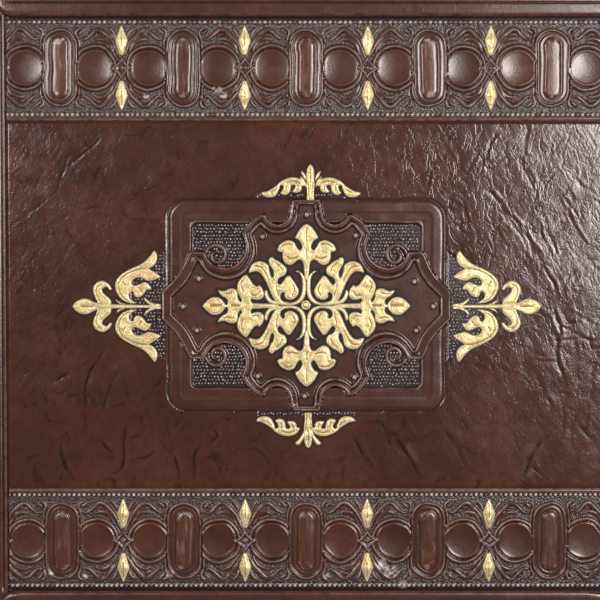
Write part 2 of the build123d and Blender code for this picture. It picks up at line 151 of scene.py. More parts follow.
def away(x, y, run, closed=False):
    """Distance of each place from a run of points."""
    run = np.asarray(run, float)
    if closed:
        run = np.vstack([run, run[:1]])
    best = np.full(x.shape, very_far)
    for a, b in zip(run, run[1:]):
        ex, ey = from_segment(x, y, a, b)
        best = np.minimum(best, ex**2 + ey**2)
    return np.sqrt(best)


def within(x, y, run):
    """Whether each place lies inside a closed run of points."""
    found = np.zeros(x.shape, bool)
    for (x0, y0), (x1, y1) in zip(run, np.roll(run, -1, axis=0)):
        if y0 != y1:
            crossing = (y0 > y) != (y1 > y)
            found ^= crossing & (x < (x1 - x0) * (y - y0) / (y1 - y0) + x0)
    return found


def near_run(x, y, run, margin):
    """Whether each place lies in the box round a run of points."""
    low, high = run.min(0) - margin, run.max(0) + margin
    return (x > low[0]) & (x < high[0]) & (y > low[1]) & (y < high[1])


def soft_box(x, y, half_x, half_y, corner):
    """How far each place lies inside a rectangle with round corners."""
    dx = np.abs(x) - half_x + corner
    dy = np.abs(y) - half_y + corner
    outside = np.hypot(np.maximum(dx, 0), np.maximum(dy, 0))
    return corner - outside - np.minimum(np.maximum(dx, dy), 0)


def stroke(x, y, run, half_width, height, foot, ends=0.45):
    """Rounded ridge along a run of points, thinner towards its ends."""
    run = smooth_run(run, 0.5)
    best = np.full(x.shape, foot, float)
    count = len(run) - 1
    for step, (a, b) in enumerate(zip(run, run[1:])):
        wide = half_width * (ends + (1 - ends) * sin(pi * (step + 0.5) / count))
        d = np.hypot(*from_segment(x, y, a, b)) / wide
        top = np.sqrt(1 - np.minimum(d, 1) ** 2)
        best = np.maximum(best, np.where(d < 1, foot + height * top, foot))
    return best


# Creases of the leather: depth, width in millimetres, and pixels of the photograph along each
traced_creases = [
    (1.0, 0.55, [(103.5, 131.4), (99.7, 137), (93, 144.7), (83.6, 151.3), (73, 160.8),
                 (65.5, 169.4), (58.9, 180.8), (55, 190.3), (45.6, 199.8), (34.2, 209.3),
                 (21, 217)]),
    (0.95, 0.5, [(73, 147.5), (66.5, 160.8), (62.7, 170.3), (57, 182.7)]),
    (0.6, 0.5, [(9.5, 175), (21, 168.4), (28.5, 164.6)]),
    (0.65, 0.5, [(11.4, 225.4), (19, 220.7), (26.6, 215)]),
    (0.75, 0.5, [(7.6, 285), (14.2, 270), (22.8, 262.5)]),
    (0.7, 0.5, [(11.4, 287), (20.9, 279.5), (27.5, 266)]),
    (0.7, 0.6, [(79.8, 211), (93, 206.4), (106.4, 209.3), (121.6, 207.4), (133, 215),
                (138.7, 220.7)]),
    (0.55, 0.5, [(114, 125.7), (121.6, 133.3), (136.8, 135.2), (146.2, 127.6)]),
    (0.5, 0.5, [(142.5, 196), (146.2, 209.3), (148.1, 226.4)]),
    (0.45, 0.5, [(5.7, 190), (24.7, 188.4), (27.5, 203.6)]),
    (1.0, 0.65, [(480.9, 186.5), (491.3, 194.1), (502.7, 205.5), (512.2, 218.8), (523.6, 234),
                 (533.1, 249.2), (542.6, 264.4), (552.1, 281.5), (557.8, 294.8)]),
    (1.0, 0.6, [(555.9, 196), (565.4, 209.3), (573, 224.5), (580.6, 235.9), (590.1, 247.3)]),
    (0.7, 0.5, [(561.6, 194.1), (571.1, 207.4), (578.7, 222.6), (582.5, 230.2)]),
    (0.9, 0.5, [(538.8, 220.7), (543.6, 235.9), (550.2, 251.1), (555.9, 260.6)]),
    (0.8, 0.45, [(546.4, 226.4), (552.1, 241.6), (557.8, 258.7)]),
    (0.8, 0.6, [(500.8, 129.5), (490.4, 139), (485.6, 154.2), (480.9, 165.6), (479.9, 182.7)]),
    (0.75, 0.6, [(527.4, 125.7), (525.5, 140.9), (521.7, 158), (525.5, 173.2), (533.1, 186.5),
                 (536.9, 201.7)]),
    (0.85, 0.6, [(573, 177), (584.4, 186.5), (600, 197.9)]),
    (0.8, 0.6, [(561.6, 283.4), (576.8, 268.2), (600, 251.1)]),
    (0.6, 0.5, [(478, 163.7), (491.3, 167.5), (504.6, 160.9), (516, 154.2)]),
    (0.6, 0.5, [(544.5, 158), (554, 150.4), (561.6, 144.7)]),
    (0.7, 0.5, [(586.3, 131.4), (592, 140.9), (600, 152.3)]),
    (0.55, 0.5, [(449.5, 218.8), (460.9, 230.2), (472.3, 234)]),
    (0.55, 0.5, [(455.2, 139), (451.4, 154.2), (459, 165.6)]),
    (0.8, 0.6, [(110, 343), (104, 349), (98, 357), (93, 366), (88, 376), (85, 385), (83, 397),
                (83, 408), (84, 416)]),
    (0.6, 0.55, [(98, 352), (92, 355), (87, 362), (83, 366), (76, 370)]),
    (0.95, 0.6, [(70, 370), (63, 375), (57, 378), (48, 383)]),
    (0.6, 0.5, [(34, 361), (30, 366), (24, 374), (19, 381), (12, 388)]),
    (0.8, 0.6, [(125, 367), (118, 371), (113, 379), (109, 388), (106, 397), (103, 405),
                (100, 414)]),
    (0.5, 0.5, [(33, 385), (40, 393), (44, 401), (48, 412)]),
    (0.5, 0.5, [(64, 320), (65, 328), (63, 337)]),
    (0.8, 0.6, [(58, 436), (59, 448), (61, 460), (64, 470), (70, 478), (76, 486)]),
    (0.7, 0.55, [(96, 437), (104, 446), (110, 451), (117, 453)]),
    (0.9, 0.6, [(126, 424), (124, 436), (123, 448), (122, 460), (119, 469), (113, 474),
                (104, 478)]),
    (0.6, 0.55, [(121, 466), (128, 462), (137, 459), (146, 456), (155, 452), (163, 454)]),
    (0.6, 0.5, [(122, 464), (124, 474), (127, 482)]),
    (0.5, 0.5, [(131, 430), (135, 437), (140, 444)]),
    (0.8, 0.6, [(166, 413), (165, 427), (167, 440), (171, 453), (175, 465), (177, 476),
                (178, 488)]),
    (0.7, 0.55, [(205, 441), (199, 447), (193, 456), (193, 470), (191, 486)]),
    (0.6, 0.5, [(207, 424), (213, 430), (216, 436), (210, 442), (205, 449)]),
    (0.8, 0.55, [(208, 452), (213, 461), (218, 470), (224, 482)]),
    (0.5, 0.5, [(240, 449), (256, 451), (265, 461), (274, 470)]),
    (0.7, 0.55, [(350, 431), (357, 442), (362, 453), (368, 463), (373, 471)]),
    (0.9, 0.55, [(378, 419), (384, 430), (388, 440), (393, 451)]),
    (1.0, 0.6, [(384, 424), (394, 437), (403, 450), (411, 462), (419, 474), (425, 482)]),
    (0.8, 0.6, [(443, 426), (452, 440), (459, 451), (465, 464), (471, 477)]),
    (0.9, 0.55, [(545, 438), (537, 448), (531, 460), (527, 470), (521, 480)]),
    (0.7, 0.5, [(531, 460), (538, 471), (547, 479)]),
    (0.6, 0.5, [(576, 419), (585, 432), (595, 444)]),
    (0.9, 0.55, [(549, 300), (554, 312), (558, 325), (559, 338), (557, 350)]),
    (0.9, 0.55, [(550, 320), (554, 334), (557, 348), (559, 362), (563, 372), (567, 381)]),
    (0.6, 0.5, [(530, 341), (535, 349), (540, 355), (550, 357)]),
    (0.8, 0.55, [(533, 369), (538, 377), (541, 387), (545, 396), (550, 404), (550, 412)]),
    (0.7, 0.5, [(566, 306), (576, 312), (588, 320), (600, 328)]),
    (0.7, 0.5, [(571, 330), (584, 337), (600, 341)]),
    (0.7, 0.5, [(597, 360), (591, 372), (594, 384), (592, 396), (595, 404)]),
    (0.6, 0.5, [(204, 142), (192, 145), (186, 151), (179, 157)]),
    (0.5, 0.45, [(320, 126), (323, 136)]),
    (0.7, 0.5, [(430, 128), (433, 140), (436, 152), (434, 161), (431, 169), (428, 181),
                (426, 193)]),
    (0.6, 0.5, [(438, 128), (440, 139), (446, 150)]),
    (0.5, 0.45, [(383, 146), (380, 155), (382, 163)]),
]
# Blisters of the leather: pixel of the photograph and radius in pixels
blisters = [(131, 164, 7.5), (154, 178, 9.5)]


def crease_runs(count, box, length, lean_deg, spread_deg, seed):
    """Random wandering lines in a box, most of them near one lean."""
    step, wander, softness = 1.6, 0.20, 0.15
    rng = np.random.default_rng(seed)
    runs = []
    for _ in range(count):
        place = np.array([rng.uniform(box[0], box[1]), rng.uniform(box[2], box[3])])
        turn = radians(lean_deg + rng.normal(0, spread_deg))
        reach = length * rng.uniform(0.35, 1.3)
        run = [place]
        for _ in range(max(4, int(reach / step))):
            turn += rng.normal(0, wander)
            place = place + step * np.array([cos(turn), sin(turn)])
            run.append(place)
        runs.append((np.array(run), rng.uniform(0.15, 0.55), rng.uniform(0.45, 0.65), softness))
    return runs


def bundle(points, deep, wide, seed):
    """A traced crease with two shorter ones beside it."""
    step, softness = 0.8, 1.0
    rng = np.random.default_rng(seed)
    run = smooth_run(on_cover(points), step)
    way = np.gradient(run, axis=0)
    across = np.stack([-way[:, 1], way[:, 0]], axis=-1) / np.hypot(way[:, 0], way[:, 1])[:, None]
    count = len(run)
    runs = []
    for shift, share in ((0.0, 1.0), (1.0, 0.7), (-1.1, 0.6)):
        wander = shift + 0.4 * noise(np.arange(count) * step, np.full(count, 9 * shift), 4.0, seed)
        start = 0 if share == 1 else int(count * rng.uniform(0, 0.45))
        end = count if share == 1 else start + max(5, int(count * rng.uniform(0.3, 0.55)))
        beside = (run + across * wander[:, None])[start:end]
        runs.append((beside, deep * share, wide * (0.6 + 0.4 * share), softness))
    return runs


creases = (
    crease_runs(40, (-104, -50, -62, 62), 8, 50, 40, 12)
    + crease_runs(30, (-104, -50, -62, 0), 14, 60, 40, 11)
    + crease_runs(120, (48, 104, -10, 62), 8, -66, 34, 13)
    + crease_runs(60, (48, 104, -62, 0), 11, -48, 40, 14)
    + crease_runs(34, (-52, 52, 38, 64), 10, -30, 60, 15)
    + crease_runs(40, (-52, 52, -64, -38), 12, 60, 60, 16)
)
first_bundle_seed = 200
for number, (deep, wide, points) in enumerate(traced_creases):
    creases += bundle(points, deep, wide, first_bundle_seed + number)


def creased(xs, ys):
    """Depth and painted shade of the creases, each a valley painted dark with a raised lip on one
    side painted paler as a highlight.
    """
    depth, dark, lip_highlight = (np.zeros((len(ys), len(xs))) for _ in range(3))
    for run, deep, wide, softness in creases:
        soft = softness * ease(12, -28, run[:, 1].mean())
        wide = wide * (1 + 0.5 * soft)
        low, high = run.min(0) - 4 * wide, run.max(0) + 4 * wide
        i0, i1 = np.searchsorted(xs, [low[0], high[0]])
        j0, j1 = np.searchsorted(ys, [low[1], high[1]])
        if i0 == i1 or j0 == j1:
            continue
        part = np.s_[j0:j1, i0:i1]
        x, y = np.meshgrid(xs[i0:i1], ys[j0:j1])
        best, side = np.full(x.shape, very_far), np.ones(x.shape)
        for a, b in zip(run, run[1:]):
            dx, dy = b - a
            ex, ey = from_segment(x, y, a, b)
            near = ex**2 + ey**2
            side = np.where(near < best, np.sign(dx * ey - dy * ex), side)
            best = np.minimum(best, near)
        d = np.sqrt(best) * side / wide
        ends = np.minimum(*(np.hypot(x - end[0], y - end[1]) for end in (run[0], run[-1])))
        share = deep * (0.5 + 0.5 * ease(-0.3, 0.4, noise(x, y, 5, 24))) * ease(0, 4, ends)
        upper_right = ease(20, 60, run[:, 0].mean()) * ease(-30, 0, run[:, 1].mean())
        steepness = 0.05 + 0.04 * upper_right + 0.03 * soft
        depth[part] += steepness * share * (np.exp(-(d**2)) - 0.75 * np.exp(-((d - 1.5) ** 2)))
        share = share * (1 + 0.5 * softness + 0.5 * soft)
        valley = np.exp(-((d * (1 + 0.6 * soft) / 0.9) ** 2))
        dark[part] = np.maximum(dark[part], share * valley)
        lip_highlight[part] = np.maximum(lip_highlight[part], share * softness * np.exp(-((d - 1.7) ** 2)))
    return depth, dark - 0.45 * lip_highlight


# Strapwork of the medallion, one quarter, in pixels from the middle
strap_inner_edge = closed_run([offsets(stretch) for stretch in (
    [(134, 0), (134, 9)],
    [(134, 9), (119, 25), (108, 45.5)],
    arc((80, 55.5), 30, -20, -210),
    [(54, 70.5), (46, 80.5)],
    arc((29, 93.5), 21.4, -37, -180),
    [(7.6, 93.5), (7.6, 101)],
    [(7.6, 101), (0, 101)],
)], 0.5)
strap_outer_edge = closed_run([offsets(stretch) for stretch in (
    [(145, 0), (145, 13.5)],
    [(145, 13.5), (134, 24.5), (126, 35.5), (117, 54)],
    [(117, 54), (102, 54)],
    arc((81.5, 58.5), 20.5, -13, -218),
    [(65.3, 71.1), (57, 83), (45, 91.5)],
    arc((29, 93.5), 12.2, -10, -180),
    [(16.8, 93.5), (13.5, 106)],
    [(13.5, 106), (0, 106)],
)], 0.5)
strap_inner = np.vstack([strap_inner_edge, offsets([(0, 101), (0, 0)])])
strap_outer = np.vstack([strap_outer_edge, offsets([(0, 106), (0, 0)])])
volute_turns = [(12.6 - 8.6 * s, pi * (2.6 * s - 0.25)) for s in np.linspace(0, 1, 26)]
volute = offsets([(89.5 + r * cos(a), 50 + r * sin(a)) for r, a in volute_turns])
studs = on_cover([
    (262, 236), (355, 235), (198, 278), (414, 281), (182, 306), (433, 306), (196, 330),
    (416, 330), (257, 376), (354, 377), (306, 214), (304, 396),
])


# Outlines of the gilded relief, read from the photograph, one quarter or half of each ornament
def joined(first, *others):
    """Stretches of an outline, each of which starts where the one before it ends."""
    stretches = [first]
    for stretch in others:
        stretches.append(stretches[-1][-1:] + stretch)
    return stretches


def mirrored(points, axis_u=None, axis_v=None):
    """Pixel points mirrored about an upright or a level axis."""
    if axis_u is not None:
        points = [(2 * axis_u - u, v) for u, v in points]
    if axis_v is not None:
        points = [(u, 2 * axis_v - v) for u, v in points]
    return points


def turned(stretches, **axis):
    """All the stretches of an outline, mirrored."""
    return [mirrored(stretch, **axis) for stretch in stretches]


def dropped(stretches, shift, level):
    """Stretches of the upper crest, turned over for the lower one."""
    return [[(u - shift, level - v) for u, v in stretch] for stretch in stretches]


def whole(half, **axis):
    """A half outline with its mirror image, as one closed list of stretches."""
    return half + [stretch[::-1] for stretch in reversed(turned(half, **axis))]


def in_quarters(stretches, axis_u, axis_v):
    """An outline and its three mirror images."""
    side = turned(stretches, axis_u=axis_u)
    return [stretches, side, turned(stretches, axis_v=axis_v), turned(side, axis_v=axis_v)]


crown_half = joined(
    [(306, 223.5), (309, 225), (313, 229), (316, 234), (317.5, 237.5)],
    [(313.6, 239.5), (311, 243.6), (310.4, 247), (312.2, 249.6), (314.6, 248.6), (316.6, 245.6),
     (318.3, 242.2)],
    [(320.6, 240.6), (325, 240), (330, 242), (333.5, 245), (335.5, 249.5)],
    [(333, 251), (330.6, 251.5), (330, 254), (330, 257), (328.5, 261), (326, 263.5), (322, 264.2),
     (318.5, 262.3), (315.5, 259.8), (312.5, 259), (310.2, 260.6), (308.9, 264)],
    [(308.5, 270), (307.8, 275), (306.5, 280)],
    [(306, 280)],
)
arm_half = joined(
    [(410, 305.5), (407, 302.2), (403.5, 299), (400, 297), (396, 296.8), (392, 298.2),
     (389.3, 300.8)],
    [(387, 303.8), (385, 303.6), (384.2, 300.6), (386, 297.6), (389.5, 295.8)],
    [(392.5, 293), (394.5, 289.5)],
    [(389, 290.8), (386, 290), (383, 288.5), (379, 288.3), (376, 289.7), (374.8, 293)],
    [(374.6, 297), (373.2, 300.3), (371, 301.3), (370.4, 299)],
    [(372.5, 295), (374.2, 291), (375, 286.5), (374, 282), (371, 278), (368, 275.2),
     (365.5, 274.5)],
    [(363, 278), (361, 281), (358.6, 284.2), (355.2, 286), (353, 284.5)],
    [(350.2, 287.8), (348.6, 292), (348.8, 296), (352, 298.7), (356.5, 299), (360.6, 297.7)],
    [(361.4, 300.5), (359.5, 303)],
    [(350, 303.4), (340, 303.8), (333, 304.9)],
    [(333, 305.5)],
)
spray = joined(
    [(322.5, 275.3), (319, 280), (315.3, 286), (313.6, 290), (314.2, 293.8), (317, 297.2),
     (321, 299), (325, 298.6), (327.4, 296), (327.2, 293)],
    [(329.4, 291.8), (331.8, 294.5), (331.5, 298.4), (328.5, 301.2), (323, 302)],
    [(326, 303.8), (331, 303.3), (335.5, 301), (338.8, 297.3), (341, 292.6), (343, 288),
     (345, 283.4), (347.2, 279), (349.7, 275), (352.3, 272), (355.5, 270.6), (359, 271),
     (363.6, 272.4)],
    [(362.5, 268.8), (360.8, 265), (358, 262.5), (354, 261), (350, 261.2), (346.2, 262.8),
     (343.6, 265.6)],
    [(343, 270), (341.9, 274.3), (340.6, 276.7), (338.8, 276.3), (338, 273.4), (338.8, 269.6),
     (341, 266), (342.8, 262.4), (343.4, 259.5)],
    [(342, 257.3), (339.8, 256.6)],
    [(337.4, 259), (334, 260.6), (331, 262.8), (328, 265.4), (325.8, 268), (326, 271.8),
     (328, 274.8)],
    [(331.5, 276.3), (334, 278.6), (334.6, 282), (332.4, 284), (329.8, 282.2), (327.2, 278.6)],
    [(325, 276), (322.5, 275.3)],
)
ribbon = joined(
    [(316.8, 270.3), (313.2, 272.4), (310.9, 275.6), (309.8, 280), (309.6, 285), (309.7, 290),
     (310.8, 294.6), (313.2, 298.6), (316.6, 301.3), (321, 302.4), (326, 302), (331, 300.9),
     (337, 300.6), (341.4, 298.8), (344, 294.8), (345.4, 289.6)],
    [(347, 290.5), (347.2, 294.5), (345.6, 298.8), (342.2, 302), (337, 303.5), (331, 304.2),
     (322, 304.5), (315.6, 303.6), (311, 301), (307.8, 297), (306.5, 292), (306.2, 286),
     (306.4, 281), (307.6, 276.6), (310.2, 273), (314, 270.4), (316.8, 270.3)],
)
palmette_stem = joined(
    [(71.5, 306), (73, 303.4), (76, 300.8), (80, 298.9), (84, 298.3), (88, 299.2), (91, 301),
     (94.5, 302.4)],
    [(100, 303.4), (108, 303.9), (118, 304.3), (135, 304.6), (160, 304.9)],
    [(160, 306)],
)
palmette_hook = joined(
    [(96.6, 302.6), (94.8, 298), (93, 294), (92, 290), (92.6, 286), (95, 283), (98.2, 281),
     (102, 280.5), (105.5, 282), (108.6, 284.6), (111, 289)],
    [(108.8, 289.6), (107.4, 287.6), (105.4, 286.4), (102.6, 287), (101, 289), (101.5, 291.6),
     (103.5, 294), (106.5, 296.5), (109, 299), (110, 301.4), (110, 304.2)],
    [(104, 303.6), (96.6, 302.6)],
)
palmette_leaf = joined(
    [(137, 302.8), (132, 302.7), (126, 301.6), (121, 299), (117.5, 295), (115, 290), (114.2, 285),
     (115, 281), (117.5, 277), (121, 273.5), (125, 271), (130, 268.3), (135, 266), (140, 263.8),
     (144, 261), (147, 258), (150, 254.5), (153.2, 250)],
    [(155.2, 252.4), (156.2, 256.4), (155.8, 260.4), (154, 263.6), (151.4, 266), (147.5, 267.8)],
    [(151, 270.2), (155, 272.6), (160, 276.6)],
    [(156, 278.2), (152, 279.4), (148.4, 280.2), (145.4, 279.6), (142, 277.9), (138.4, 276.7),
     (134.4, 277.4), (131.7, 279.6), (130.7, 282), (131.7, 284.5), (134.6, 285.3), (139, 283.6),
     (143.4, 281.7)],
    [(146.5, 282.8), (149, 285.6), (150.8, 289.2)],
    [(147.5, 288.8), (145.2, 289.8), (143.6, 292.2), (141.4, 294.7), (138.5, 296.4), (135.5, 296.6),
     (133.5, 295), (132.5, 292.2), (130.6, 291), (128.6, 292.4), (127.8, 295.6), (129.4, 298.8),
     (132.6, 301), (137, 302.8)],
)
palmette_tendril = joined(
    [(143.2, 296.4), (145.4, 298.6), (148.2, 301), (152, 302.8), (156, 303.5), (160, 303.8)],
    [(160, 305), (154, 305), (149, 304), (145.4, 301.6), (143.4, 299), (143.2, 296.4)],
)
palmette_leaflet = joined(
    [(114.2, 298.4), (117.4, 300.8), (121, 302.8), (126, 304)],
    [(121, 304), (116.8, 302.2), (114.2, 298.4)],
)
crest_stem = joined(
    [(310, 163.6), (307.6, 166), (306.4, 169), (306, 174), (306.2, 180), (305.6, 184), (306.2, 190),
     (306.4, 195), (305.9, 199.4)],
    [(309.6, 199.8)],
)
crest_sprig = joined(
    [(300.2, 170), (302.8, 172.2), (305, 175.6), (306.4, 181)],
    [(303.4, 177.6), (301.2, 173.8), (300.2, 170)],
)
crest_blade = joined(
    [(299.2, 175.2), (302, 178), (304.4, 181.4), (306, 187)],
    [(302.8, 184), (300.6, 180), (299.2, 175.2)],
)
crest_wing = joined(
    [(304.6, 185), (302.2, 181.2), (299.2, 178.6), (295, 177.3), (290, 177.2), (286, 178.3),
     (282, 180), (279, 182), (275.5, 185.5), (271, 188.5), (266, 191), (260, 192)],
    [(263, 195.4), (268, 196.7), (273, 196), (276, 193.6), (277.2, 191)],
    [(278.6, 188), (279.2, 185.5), (281.2, 184.8), (282.6, 186.6), (282, 189.6), (279.6, 192.6)],
    [(283, 194.3), (287, 193.6), (289.3, 191)],
    [(289.9, 187.6), (290.4, 185), (293, 184.5), (294.6, 186), (293.6, 188.6), (291.2, 191.3)],
    [(294.5, 192), (299, 191.3), (300.9, 188.6)],
    [(301.4, 186), (304.6, 185)],
)
tail_sprig = joined(
    [(305, 427), (303, 432), (300.5, 437), (297, 441), (294.5, 443.5)],
    [(296, 445), (299, 444.8)],
    [(301.5, 441), (304, 435.5), (306, 430), (306.4, 427)],
    [(305, 427)],
)
band_leaf_half = joined(
    [(0, 31.5), (2.4, 26), (5.0, 19.4), (6.6, 15.4)],
    [(5.3, 9.4), (3.4, 3.6), (2.0, 0)],
    [(0, 0)],
)


def grown(run):
    """A closed outline moved outwards, less so in its sharp inner corners."""
    by, sharp_bend, corner_share = 0.16, -0.35, 0.2
    ahead, behind = np.roll(run, -1, axis=0) - run, run - np.roll(run, 1, axis=0)
    ahead, behind = (way / (np.hypot(*way.T)[:, None] + 1e-9) for way in (ahead, behind))
    way = ahead + behind
    way = way / (np.hypot(*way.T)[:, None] + 1e-9)
    after = np.roll(run, -1, axis=0)
    turn = np.sign(np.sum(run[:, 0] * after[:, 1] - run[:, 1] * after[:, 0]))
    bend = turn * (behind[:, 0] * ahead[:, 1] - behind[:, 1] * ahead[:, 0])
    step = by * np.where(bend < sharp_bend, corner_share, 1.0)
    return run + turn * step[:, None] * np.stack([way[:, 1], -way[:, 0]], axis=-1)


# Axes of the ornaments and the shifts of the lower crest, in pixels
rosette_axes, crown_u, arm_v = (305.7, 304.9), 306, 305.5
palmette_axes = (306.2, 306)
crest_u, crest_stem_u, tail_u = 310.2, 309.7, 307.5
stem_drop, wing_drop = (2.2, 612.6), (5.2, 613.4)
outline_step, vein_step = 0.28, 0.3

crown = whole(crown_half, axis_u=crown_u)
arm = whole(arm_half, axis_v=arm_v)
rosette = [crown, turned(crown, axis_v=rosette_axes[1]), arm, turned(arm, axis_u=rosette_axes[0])]
for quarter in (spray, ribbon):
    rosette += in_quarters(quarter, *rosette_axes)
palmettes = []
for half in (palmette_hook, palmette_leaf, palmette_tendril, palmette_leaflet):
    palmettes += in_quarters(half, *palmette_axes)
stem = whole(palmette_stem, axis_v=palmette_axes[1])
palmettes += [stem, turned(stem, axis_u=palmette_axes[0])]
crest = [whole(crest_stem, axis_u=crest_stem_u)]
for half in (crest_sprig, crest_blade, crest_wing):
    crest += [half, turned(half, axis_u=crest_u)]
lower_crest = [dropped(crest[0], *stem_drop), tail_sprig, turned(tail_sprig, axis_u=tail_u)]
lower_crest += [dropped(wing, *wing_drop) for wing in crest[5:]]
ornaments = {"rosette": rosette, "palmettes": palmettes, "crests": crest + lower_crest}
gilt_runs = {
    name: [grown(closed_run([on_cover(line) for line in part], outline_step)) for part in parts]
    for name, parts in ornaments.items()
}

# Tooled lines in the gold
crown_veins = [
    [(306, 228), (306, 234), (306, 241)],
    [(306, 250), (306, 258)],
    [(331.5, 246.4), (326, 243.2), (320, 243.8)],
    [(314.5, 256.2), (320.5, 257.8), (325.5, 256.5)],
]
arm_veins = [
    [(402, 305.5), (396, 305.5), (390, 305.5)],
    [(381, 305.5), (372, 305.5)],
    [(368.5, 279), (371.2, 284), (369, 291)],
    [(352.5, 291), (355.5, 294.8), (360.5, 294.4)],
    [(380, 291.8), (384, 293.2), (388.5, 292.6)],
]
spray_veins = [
    [(357.5, 265.4), (351, 266.8), (347, 272), (343, 280)],
    [(336, 262.8), (331.6, 266.6), (330, 270.4)],
    [(319.4, 284), (317.4, 290), (320, 295)],
    [(336, 283), (335.5, 289), (333.5, 295)],
]
hook_veins = [
    [(98.6, 301), (95.9, 295), (95.3, 290), (97, 286), (101, 283.8)],
]
leaf_veins = [
    [(129, 300.8), (123.6, 298.4), (119.4, 293), (117.6, 286), (119, 280), (124, 274.8),
     (131, 270.8), (139, 268.4), (147, 267.4)],
    [(122, 281), (124.4, 285.4)],
    [(137.6, 287), (141, 291)],
]
bulb_veins = [
    [(80, 306), (92.5, 306)],
]
crest_veins = [
    [(309.7, 166.5), (309.7, 181)],
    [(306.8, 182), (308.3, 197.5)],
    [(312.6, 182), (311.1, 197.5)],
]
wing_veins = [
    [(299.5, 182.4), (293, 180.6), (286, 182)],
    [(286.2, 185.4), (285.2, 190.4)],
    [(297.2, 184.6), (296.6, 189.4)],
    [(275.6, 188.2), (270.6, 192)],
]


def lines_of(lines):
    """Tooled lines on the cover."""
    return [smooth_run(on_cover(line), vein_step) for line in lines]


def quarter_lines(lines, *axes):
    """Tooled lines on the cover, with their three mirror images."""
    return lines_of(sum(in_quarters(lines, *axes), []))


rosette_veins = quarter_lines(crown_veins, crown_u, rosette_axes[1])
rosette_veins += quarter_lines(arm_veins + spray_veins, *rosette_axes)
palmette_veins = quarter_lines(hook_veins + leaf_veins, *palmette_axes)
palmette_veins += lines_of(bulb_veins + turned(bulb_veins, axis_u=palmette_axes[0]))
wings = wing_veins + turned(wing_veins, axis_u=crest_u)
crest_lines = lines_of(crest_veins + dropped(crest_veins, *stem_drop)
                       + wings + dropped(wings, *wing_drop))


# Mesh makers
def mesh_piece(name, points, faces, body, material, masks, sharp_deg=62):
    """Smooth mesh from points in millimetres, which rides on a body."""
    mesh = bpy.data.meshes.new(name)
    mesh.from_pydata(np.asarray(points, float) * mm, [], faces)
    for mask, values in masks.items():
        attribute = mesh.attributes.new(mask, "FLOAT", "POINT")
        attribute.data.foreach_set("value", np.asarray(values, np.float32))
    mesh.polygons.foreach_set("use_smooth", np.ones(len(mesh.polygons), bool))
    mesh.set_sharp_from_angle(angle=radians(sharp_deg))
    mesh.materials.append(material)
    piece = bpy.data.objects.new(name, mesh)
    bpy.context.scene.collection.objects.link(piece)
    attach(piece, body)
    return piece


def grid_faces(columns, rows):
    """Quads of a grid of points that is stored row by row."""
    i, j = np.meshgrid(np.arange(columns - 1), np.arange(rows - 1))
    corner = j * columns + i
    quads = np.stack([corner, corner + 1, corner + columns + 1, corner + columns], axis=-1)
    return quads.reshape(-1, 4).tolist()


def wall_faces(rim, below):
    """Quads between two closed rings of point numbers."""
    return [list(quad) for quad in zip(rim, below, below[1:] + below[:1], rim[1:] + rim[:1])]


def border(columns, rows):
    """Point numbers round a grid, anticlockwise."""
    low = list(range(columns - 1))
    right = [j * columns + columns - 1 for j in range(rows - 1)]
    high = [(rows - 1) * columns + i for i in range(columns - 1, 0, -1)]
    left = [j * columns for j in range(rows - 1, 0, -1)]
    return low + right + high + left


def steep(z, xs, ys):
    """Masks of the crests of a relief, for wear and painted highlight, and of its hollows, for
    painted shade.
    """
    most = 4
    bend = (np.gradient(np.gradient(z, ys, axis=0), ys, axis=0)
            + np.gradient(np.gradient(z, xs, axis=1), xs, axis=1))
    return np.clip(-bend, 0, most), np.clip(bend, 0, most)


def leather_masks(like, **given):
    """The masks of leather, with nothing in those that are not given."""
    empty = {mask: np.zeros_like(like) for mask in ("ground", "stain", "scuff", "shine")}
    return {**empty, **given}


def lengthened(masks, extra):
    """Masks of a grid, with nothing at the points below its rim."""
    return {mask: np.concatenate([np.ravel(values), np.zeros(extra)])
            for mask, values in masks.items()}


def slab(name, xs, ys, z, masks):
    """Closed block of leather with a relief on top."""
    columns, rows = len(xs), len(ys)
    x, y = np.meshgrid(xs, ys)
    points = np.stack([x, y, z + field], axis=-1).reshape(-1, 3)
    crests, hollows = steep(z, xs, ys)
    # Creases' painted shade darkens through the hollow mask, their lips' painted highlight goes
    # through the crest mask
    fold = 2.0 * masks.pop("fold", 0)
    masks = {"crest": np.maximum(crests, -fold), "hollow": np.maximum(hollows, fold), **masks}
    rim = border(columns, rows)
    foot = list(range(len(points), len(points) + len(rim)))
    below = points[rim].copy()
    below[:, 2] = slab_foot
    faces = grid_faces(columns, rows) + wall_faces(rim, foot) + [foot[::-1]]
    piece = mesh_piece(name, np.vstack([points, below]), faces, "front_cover", leather,
                       lengthened(masks, len(rim)))
    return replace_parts(piece, "front_leather")


